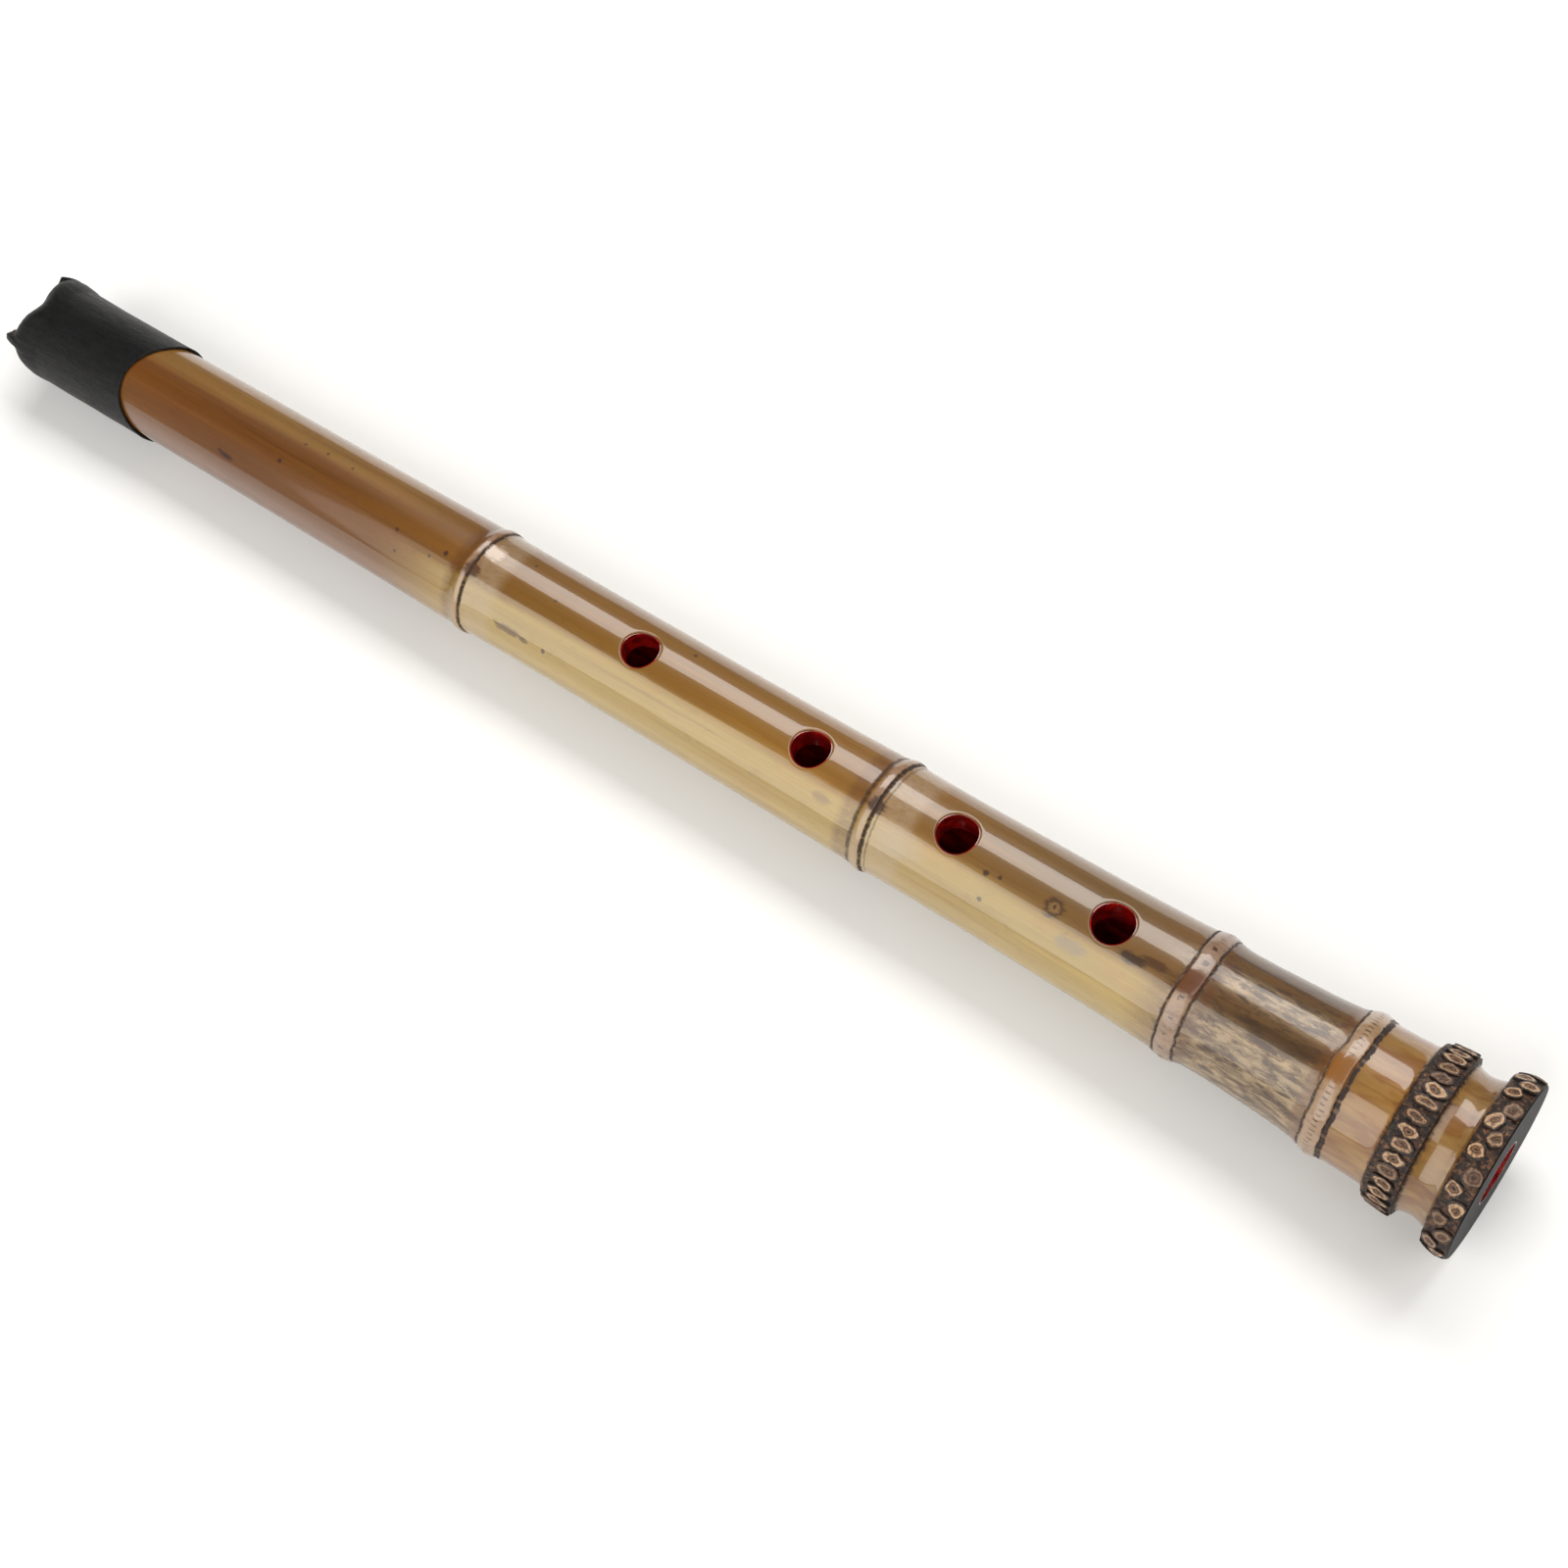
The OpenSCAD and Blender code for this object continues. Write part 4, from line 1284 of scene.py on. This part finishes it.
@dataclass(frozen=True)
class BambooFinish(Finish):
    """Lacquered bamboo, aged brown, with dark lines at the nodes and a dark root."""

    form: CulmForm
    marks: tuple[Mark, ...] = ()
    painted_light_from: tuple[float, float] = (354.0, 400.0)
    painted_reflection_at: tuple[float, ...] = (92.0, 110.0, 345.0, 392.0)
    foot_to: tuple[float, float] = (40.0, 44.0)
    mottled_at: tuple[float, ...] = (47.0, 54.0, 84.0, 108.0)
    crown_turns: tuple[float, ...] = (-26.0, -20.0, -4.0, 1.0)

    def material(self) -> bpy.types.Material:
        """Builds the bamboo's node material."""
        g, place = self.start("lacquered_bamboo")
        along, turn = g.attribute("along"), g.turn(place)
        mottle = g.clouds(place, 0.3, 5, 0.62, 0.8, axial=0.6)
        speck = g.clouds(place, 0.9, 4, 0.65, 0.3, axial=0.45)
        colour = self.ageing_and_painted_light(g, place, along, turn, mottle, speck)
        colour, lines = self.nodes(g, colour, place, along, turn, speck)
        colour = self.marked(g, colour, place)
        collar = self.form.collar_at + self.form.collar_w / 2
        edge_noise = (speck - 0.5) * 2.4
        bark = abs(along + edge_noise - 4.2).fall(4.0, 5.2).most(
            abs(along + edge_noise - collar).fall(4.9, 6.1))
        crust = g.clouds(place, 0.8, 5, 0.7, 0.6, axial=0.7)
        colour = g.mix(bark, colour, g.ramp(crust, [
            (0.4, tint(8, 4, 3)), (0.5, tint(34, 18, 10)), (0.6, tint(88, 57, 34)),
            (0.74, tint(136, 101, 68))]))
        grain = g.clouds(place, 2.4, 3, 0.6, axial=0.04)
        height = grain * 0.3 + speck * 0.25 - lines * 1.2 + crust * bark * 7.0
        dull = abs(along - 71.0).fall(18.0, 26.0)
        rough = 0.34 + mottle * 0.1 + bark * 0.25 + lines * 0.2
        return g.dress(Base_Color=colour, Roughness=rough, Normal=g.bump(height, 0.4, 0.12),
                       Coat_Weight=0.95 - (bark * 0.9).most(lines * 0.95).most(speck * dull * 0.5),
                       Coat_Roughness=0.07, IOR=1.5, Specular_IOR_Level=0.35)

    def ageing_and_painted_light(self, g: Graph, place: Value, along: Value, turn: Value, mottle: Value,
               speck: Value) -> Value:
        """Colours the bamboo between its nodes, with painted reflections and painted light on its
        sides.

        Args:
            g: The material's graph.
            place: Place on the flute in mm.
            along: Station in mm.
            turn: Angle in degrees.
            mottle: Noise of about 3 mm.
            speck: Noise of about 1 mm.

        Returns:
            The colour.
        """
        fibre = g.clouds(place, 1.6, 4, 0.6, axial=0.02)
        streak = g.clouds(place, 0.35, 3, 0.55, axial=0.03)
        cloud = g.clouds(place, 0.09, 4, 0.55, 0.4, axial=0.35)
        length = self.form.length
        colour = g.ramp(along / length, [(at / length, tint(*shade)) for at, shade in AGES])
        # Painted reflection: the side under the broad soft box, past about -26 degrees, and the far
        # underside are painted paler, with a wavy edge.
        edge = turn + (streak - 0.5) * 14.0
        pale = edge.fall(-34.0, -18.0).most(edge.rise(120.0, 150.0))
        foot = along.fall(*self.foot_to)
        orange = g.clouds(place, 0.22, 3, 0.55, 0.5, axial=0.25)
        dull = along.window(*self.mottled_at)
        # Painted reflection: the sides that face the soft boxes, leaving out the dark band between
        # them.
        side = turn.fall(-30.0, -18.0).most(turn.window(-6.0, 4.0, 14.0, 24.0))
        grain = g.clouds(place, 0.42, 6, 0.7, 0.3, axial=0.3)
        colour = g.layers(
            colour,
            # painted light: the side towards +Y and the key light, past the first node, is painted
            # paler olive
            (turn.rise(2.0, 16.0) * along.rise(*self.painted_light_from) * 0.8, tint(120, 86, 36)),
            # painted reflection: paler tan on those sides from the third node to the first
            (pale * along.window(*self.painted_reflection_at) * 0.85, tint(150, 126, 66)),
            (foot * orange.rise(0.42, 0.58) * 0.35, tint(142, 112, 60)),
            (foot * orange.fall(0.38, 0.5) * 0.5, tint(104, 58, 14)),
            # painted reflection: pale grey-beige grain patches on those sides in the mottled stretch
            (dull * side * grain.rise(0.4, 0.62) * 0.75, tint(150, 129, 97)),
            (dull * grain.fall(0.36, 0.52) * 0.75, SOIL),
            (dull * streak.rise(0.5, 0.62) * 0.5, SOIL))
        warm = g.shade(1.0, colour, (1.0, 0.8, 0.6))
        colour = g.mix(cloud.fall(0.3, 0.5) * 0.4, colour, warm)
        dark = g.shade(1.0, colour, (0.5, 0.44, 0.4))
        colour = g.layers(colour, (mottle.rise(0.54, 0.78) * 0.3, dark),
                          (speck.rise(0.62, 0.76) * 0.3, dark), (streak.rise(0.5, 0.78) * 0.5, dark))
        light = g.shade(1.0, colour, (1.35, 1.35, 1.3))
        return g.layers(colour, (streak.fall(0.3, 0.46) * 0.5, light),
                        (fibre.rise(0.45, 0.75) * 0.4, light))

    def nodes(self, g: Graph, colour: Value, place: Value, along: Value, turn: Value,
              speck: Value) -> tuple[Value, Value]:
        """Colours the ridges of the nodes, their dark lines and the buds of the fourth.

        Args:
            g: The material's graph.
            colour: Colour of the bamboo so far.
            place: Place on the flute in mm.
            along: Station in mm.
            turn: Angle in degrees.
            speck: Noise of about 1 mm.

        Returns:
            The colour and a mask of the dark lines.
        """
        wobble = g.clouds(place, 0.5, 4, 0.65, axial=0.2)
        width = (g.clouds(place, 0.35, 3, 0.6, axial=0.1) - 0.5) * 1.1
        broken = g.clouds(place, 0.9, 2, 0.5, axial=0.1).rise(0.3, 0.5)
        crown = turn.window(*self.crown_turns)
        lines: Value | None = None
        for k, (at, stripes) in enumerate(zip(self.form.nodes_at, STRIPES)):
            station = along + (wobble - 0.5) * (0.9 if k < 2 else 1.6) - at
            for stripe in stripes:
                off = abs(station - stripe.off)
                if stripe.colour == DARK_LINE:
                    mask = (off - width * 0.5).fall(stripe.half, stripe.half + stripe.soft)
                    mask = mask * stripe.depth * (broken * 0.4 + 0.6)
                    lines = mask if lines is None else lines.most(mask)
                else:
                    mask = off.fall(stripe.half, stripe.half + stripe.soft)
                    mask = mask * stripe.depth * (speck.fall(0.35, 0.75) * 0.6 + 0.55)
                colour = g.mix(mask, colour, stripe.colour)
            band = abs(station).fall(2.6, 3.4)
            if k > 1:
                colour = g.mix(crown * band * 0.92, colour, tint(84, 45, 17) if k == 2 else
                               tint(118, 72, 18))
                pitch = 17.0 if k == 2 else 4.6
                bud = abs(((turn + speck * 3.0) / pitch + 60.0).fraction() - 0.5).fall(0.1, 0.2)
                height = abs(station + (speck - 0.5) * 2.0).fall(0.5, 1.1)
                shown = wobble.rise(0.44, 0.5) if k == 2 else 0.85
                colour = g.mix(bud * height * shown * (1 - crown), colour, tint(64, 34, 20))
        return colour, lines

    def marked(self, g: Graph, colour: Value, place: Value) -> Value:
        """Adds the spots, smudges and the knot.

        Args:
            g: The material's graph.
            colour: Colour of the bamboo so far.
            place: Place on the flute in mm.

        Returns:
            The colour.
        """
        ragged = g.clouds(place, 1.1, 3, 0.6, axial=0.4) - 0.5
        for mark in self.marks:
            angle = math.radians(mark.turn)
            r = self.form.outer_r(mark.at)
            centre = Vector((mark.at, r * math.sin(angle), r * math.cos(angle)))
            away = g.vector("MULTIPLY", g.vector("SUBTRACT", place, tuple(centre)),
                            (1 / mark.stretch, 1.0, 1.0))
            away = g.vector("LENGTH", away, output="Value")
            mask = (away + ragged * mark.radius * 1.4).fall(mark.radius * 0.6, mark.radius * 1.3)
            colour = g.mix(mask * mark.depth, colour, mark.colour)
        return colour


@dataclass(frozen=True)
class RootletFinish(Finish):
    """The sawn ends of rootlets: pale rings in dark bark."""

    def material(self) -> bpy.types.Material:
        """Builds the rootlets' node material."""
        g, place = self.start("sawn_rootlets")
        rough_noise = g.clouds(place, 1.3, 4, 0.6)
        ring = g.attribute("ring") + (rough_noise - 0.5) * 0.16
        tone = g.attribute("tone")
        colour = g.ramp(ring, [
            (0.0, tint(22, 11, 6)), (0.16, tint(44, 24, 13)), (0.24, tint(124, 86, 52)),
            (0.34, tint(92, 58, 34)), (0.44, tint(34, 18, 10)), (0.54, tint(158, 122, 88)),
            (0.72, tint(180, 146, 112)), (0.83, tint(60, 35, 20)), (0.9, tint(10, 5, 3))])
        colour = g.layers(colour, (tone.fall(0.3, 0.6) * 0.7, tint(58, 34, 19)),
                          (rough_noise.rise(0.46, 0.66) * 0.75, tint(50, 28, 15)),
                          (rough_noise.fall(0.28, 0.42) * 0.4, tint(150, 116, 80)))
        height = g.clouds(place, 2.2, 4, 0.6)
        return g.dress(Base_Color=colour, Roughness=0.42 + rough_noise * 0.2,
                       Normal=g.bump(height, 0.7, 0.3), Coat_Weight=0.15, Coat_Roughness=0.2,
                       Specular_IOR_Level=0.3)


@dataclass(frozen=True)
class LacquerFinish(Finish):
    """Brushed lacquer in one colour, painted as a shaded and a lit copy mixed in patches, with its
    gloss.
    """

    name: str
    painted_shade: Colour
    lit: Colour
    roughness: float = 0.16
    coat: float = 0.8
    specular: float = 0.5

    def material(self) -> bpy.types.Material:
        """Builds the lacquer's node material."""
        g, place = self.start(self.name)
        light_and_gloss_patches = g.clouds(place, 0.35, 3, 0.5, axial=0.3)
        # Painted light and shade: noise patches mix the shaded copy and the lit copy of the colour.
        colour = g.mix(light_and_gloss_patches.rise(0.35, 0.7), self.painted_shade, self.lit)
        height = g.clouds(place, 0.8, 2, 0.4)
        return g.dress(Base_Color=colour, Roughness=self.roughness + light_and_gloss_patches * 0.1,
                       Normal=g.bump(height, 0.12, 0.1), Coat_Weight=self.coat,
                       Coat_Roughness=0.06, Specular_IOR_Level=self.specular)


@dataclass(frozen=True)
class LeatherFinish(Finish):
    """Black vegetable leather with a fine grain and a soft sheen."""

    def material(self) -> bpy.types.Material:
        """Builds the leather's node material."""
        g, place = self.start("black_leather")
        drift = g.node("ShaderNodeTexNoise", {}, {
            "Vector": place, "Scale": 0.5, "Detail": 2.0}, "Color")
        bent = g.vector("ADD", place, g.vector("MULTIPLY", drift, (1.6, 1.6, 1.6)))
        cells = g.node("ShaderNodeTexVoronoi", {"feature": "DISTANCE_TO_EDGE"}, {
            "Vector": bent, "Scale": 1.5}, "Distance")
        pores = g.clouds(place, 3.0, 3, 0.6)
        soft = g.clouds(place, 0.12, 4, 0.55, 0.5)
        crease = g.clouds(place, 0.4, 5, 0.62, 1.2, axial=0.25)
        grain = cells.rise(0.0, 0.16)
        colour = g.mix(soft.rise(0.35, 0.7), tint(6, 6, 6), tint(12, 12, 13))
        colour = g.mix(crease.rise(0.58, 0.78) * 0.4, colour, tint(24, 24, 24))
        colour = g.shade(1 - grain, colour, (0.5, 0.5, 0.5))
        height = grain * 0.4 + pores * 0.2 + crease * 2.6
        return g.dress(Base_Color=colour, Roughness=0.36 + soft * 0.16 - crease * 0.08,
                       Normal=g.bump(height, 1.0, 0.35), Specular_IOR_Level=0.24)


@dataclass(frozen=True)
class HornFinish(Finish):
    """Polished dark horn with brown streaks."""

    def material(self) -> bpy.types.Material:
        """Builds the horn's node material."""
        g, place = self.start("dark_horn")
        streak = g.clouds(place, 0.9, 4, 0.6, 0.6, axial=0.15)
        colour = g.ramp(streak, [(0.35, tint(20, 16, 14)), (0.55, tint(44, 33, 26)),
                                 (0.75, tint(104, 80, 58))])
        return g.dress(Base_Color=colour, Roughness=0.16 + streak * 0.12,
                       Normal=g.bump(streak, 0.1, 0.05), Coat_Weight=0.5, Coat_Roughness=0.08)


@dataclass(frozen=True)
class PasteFinish(Finish):
    """The hard, matt paste between the bamboo and the bore."""

    def material(self) -> bpy.types.Material:
        """Builds the paste's node material."""
        g, place = self.start("bore_paste")
        grit = g.clouds(place, 2.6, 4, 0.65)
        colour = g.mix(grit.rise(0.4, 0.66), tint(150, 126, 92), tint(116, 92, 64))
        return g.dress(Base_Color=colour, Roughness=0.7 + grit * 0.15,
                       Normal=g.bump(grit, 0.3, 0.08))


@dataclass(frozen=True)
class ThreadFinish(Finish):
    """Pale waxed thread with a twist."""

    def material(self) -> bpy.types.Material:
        """Builds the thread's node material."""
        g, place = self.start("waxed_thread")
        twist = g.node("ShaderNodeTexWave", {"bands_direction": "DIAGONAL"}, {
            "Vector": place, "Scale": 1.1, "Distortion": 1.2, "Detail": 1.0})
        soil = g.clouds(place, 1.2, 3, 0.6)
        colour = g.mix(twist * 0.6, tint(128, 120, 102), tint(206, 198, 178))
        colour = g.mix(soil.rise(0.5, 0.75) * 0.5, colour, tint(110, 100, 84))
        return g.dress(Base_Color=colour, Roughness=0.6 + twist * 0.15,
                       Normal=g.bump(twist, 0.5, 0.08))


@dataclass
class SoftBox:
    """A long soft light beside the flute, seen from the flute's axis.

    Angles are in degrees from straight up towards +Y, the distance is in metres and
    the glow is the brightness of the light's face.
    """

    name: str
    low: float
    high: float
    distance: float
    reach: tuple[float, float]
    glow: float
    colour: Colour = (1.0, 0.985, 0.95)

    def light(self, axis_z: float) -> None:
        """Adds the area light to the scene."""
        middle = math.radians((self.low + self.high) / 2)
        half = math.radians(abs(self.high - self.low) / 2)
        width = 2 * self.distance * math.tan(half)
        length = self.reach[1] - self.reach[0]
        lamp = bpy.data.lights.new(self.name, "AREA")
        lamp.shape = "RECTANGLE"
        lamp.size, lamp.size_y = length, width
        lamp.energy = self.glow * math.pi * length * width
        lamp.color = self.colour
        holder = add_object(self.name, lamp)
        away = Vector((0.0, math.sin(middle), math.cos(middle)))
        across = Vector((0.0, math.cos(middle), -math.sin(middle)))
        turn = Matrix((Vector((1, 0, 0)), across, Vector((1, 0, 0)).cross(across))).transposed()
        if turn.col[2].dot(away) < 0:
            turn = Matrix((Vector((1, 0, 0)), -across, -turn.col[2])).transposed()
        spot = Vector(((self.reach[0] + self.reach[1]) / 2, 0.0, axis_z)) + away * self.distance
        holder.matrix_world = Matrix.Translation(spot) @ turn.to_4x4()
        holder.visible_camera = False


@dataclass
class Studio:
    """Camera, pale floor and soft lights."""

    lay: Lay
    eye: tuple[float, float, float] = (0.3236, -0.2414, 0.6975)
    aim: tuple[float, float, float] = (0.0471, -0.0080, 0.0276)
    roll: float = 15.6
    lens: float = 58.48
    sensor: float = 36.0
    floor_half: float = 3.0
    floor_tilt: float = 1.09
    rim_touch_x: float = 0.2752
    world: float = 0.07
    boxes: tuple[SoftBox, ...] = (
        SoftBox("broad_box", -26.0, -88.0, 1.0, (-0.69, 0.55), 3.1),
        SoftBox("broad_end", -26.0, -88.0, 1.0, (-0.82, -0.69), 1.1),
        SoftBox("key_box", 19.0, 52.0, 1.0, (-0.64, 0.55), 5.6),
        SoftBox("root_fill", -25.0, 35.0, 1.4, (0.75, 1.9), 2.6))

    def camera(self) -> None:
        """Sets up the camera at the angle of the photograph."""
        data = bpy.data.cameras.new("camera")
        data.lens, data.sensor_width, data.sensor_fit = self.lens, self.sensor, "HORIZONTAL"
        data.clip_start, data.clip_end = 0.01, 20.0
        holder = add_object("camera", data)
        eye, aim = Vector(self.eye), Vector(self.aim)
        ahead = (aim - eye).normalized()
        right = ahead.cross(Vector((0, 0, 1))).normalized()
        down = ahead.cross(right)
        angle = math.radians(self.roll)
        x_axis = math.cos(angle) * right + math.sin(angle) * down
        y_axis = math.sin(angle) * right - math.cos(angle) * down
        turn = Matrix((x_axis, y_axis, -ahead)).transposed()
        holder.matrix_world = Matrix.Translation(eye) @ turn.to_4x4()
        bpy.context.scene.camera = holder

    def floor(self) -> None:
        """Lays the pale floor under the end rim and the cap."""
        mesh = bmesh.new()
        bmesh.ops.create_grid(mesh, x_segments=8, y_segments=8, size=self.floor_half)
        tilt = math.radians(self.floor_tilt)
        bmesh.ops.transform(mesh, matrix=Matrix.Rotation(tilt, 4, "Y"), verts=mesh.verts[:])
        bmesh.ops.translate(mesh, verts=mesh.verts[:], vec=(0, 0, self.rim_touch_x * math.tan(tilt)))
        data = bpy.data.meshes.new("floor")
        mesh.to_mesh(data)
        mesh.free()
        g = Graph("pale_floor")
        place = g.node("ShaderNodeTexCoord", {}, {}, "Object")
        cloud = g.clouds(place, 3.0, 2, 0.5)
        data.materials.append(g.dress(
            Base_Color=g.mix(cloud, (0.79, 0.79, 0.79), (0.82, 0.82, 0.82)), Roughness=0.9,
            Specular_IOR_Level=0.1))
        add_object("floor", data)

    def light(self) -> None:
        """Sets the surrounding light and the soft boxes."""
        world = bpy.data.worlds.new("studio")
        world.use_nodes = True
        back = world.node_tree.nodes["Background"]
        back.inputs["Color"].default_value = (1.0, 1.0, 1.0, 1.0)
        back.inputs["Strength"].default_value = self.world
        bpy.context.scene.world = world
        for box in self.boxes:
            box.light(self.lay.axis_z * METRES)
        bpy.context.scene.view_settings.view_transform = "Standard"

    def build(self) -> None:
        """Sets up camera, floor and lights."""
        self.camera()
        self.floor()
        self.light()


def dress_nodes(lay: Lay) -> dict[str, bpy.types.Material]:
    """Gives the shown CAD nodes their finishes.

    Args:
        lay: Where the flute lies.

    Returns:
        The finish of each node.
    """
    thread = ThreadFinish(lay).material()
    finishes = {
        "bore_filler": PasteFinish(lay).material(),
        # Each lacquer is given as a shaded copy, then a lit copy, of its colour: painted light and
        # shade.
        "bore_lacquer": LacquerFinish(
            lay, "red_lacquer", tint(92, 7, 6), tint(156, 16, 10)).material(),
        "root_end_lacquer": LacquerFinish(
            lay, "black_lacquer", tint(10, 8, 8), tint(18, 14, 13), roughness=0.5, coat=0.0,
            specular=0.12).material(),
        "blowing_edge_inlay": HornFinish(lay).material(),
        "cap_end_stitches": thread,
        "cap_side_stitches": thread}
    for name, material in finishes.items():
        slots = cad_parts[name].data.materials
        slots.clear()
        slots.append(material)
    return finishes


def main() -> None:
    """Builds the pieces in order, dresses them and sets up the studio."""
    logging.basicConfig(level=logging.INFO, format="%(message)s")
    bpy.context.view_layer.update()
    lay = Lay.of_frame()
    studio = Studio(lay)
    studio.build()
    form = CulmForm()
    surface = CulmSurface(form)
    bamboo = BambooFinish(lay, form, MARKS).material()
    made = Culm(lay, surface).build(bamboo)
    made += Rootlets(lay, surface).build(RootletFinish(lay).material())
    made += Cap(lay).build(LeatherFinish(lay).material())
    for piece in made:
        LOG.info("piece %s: %d faces", piece.name, len(piece.data.polygons))
    for name, material in dress_nodes(lay).items():
        LOG.info("node %s: %s", name, material.name)


if __name__ == "__main__":
    main()
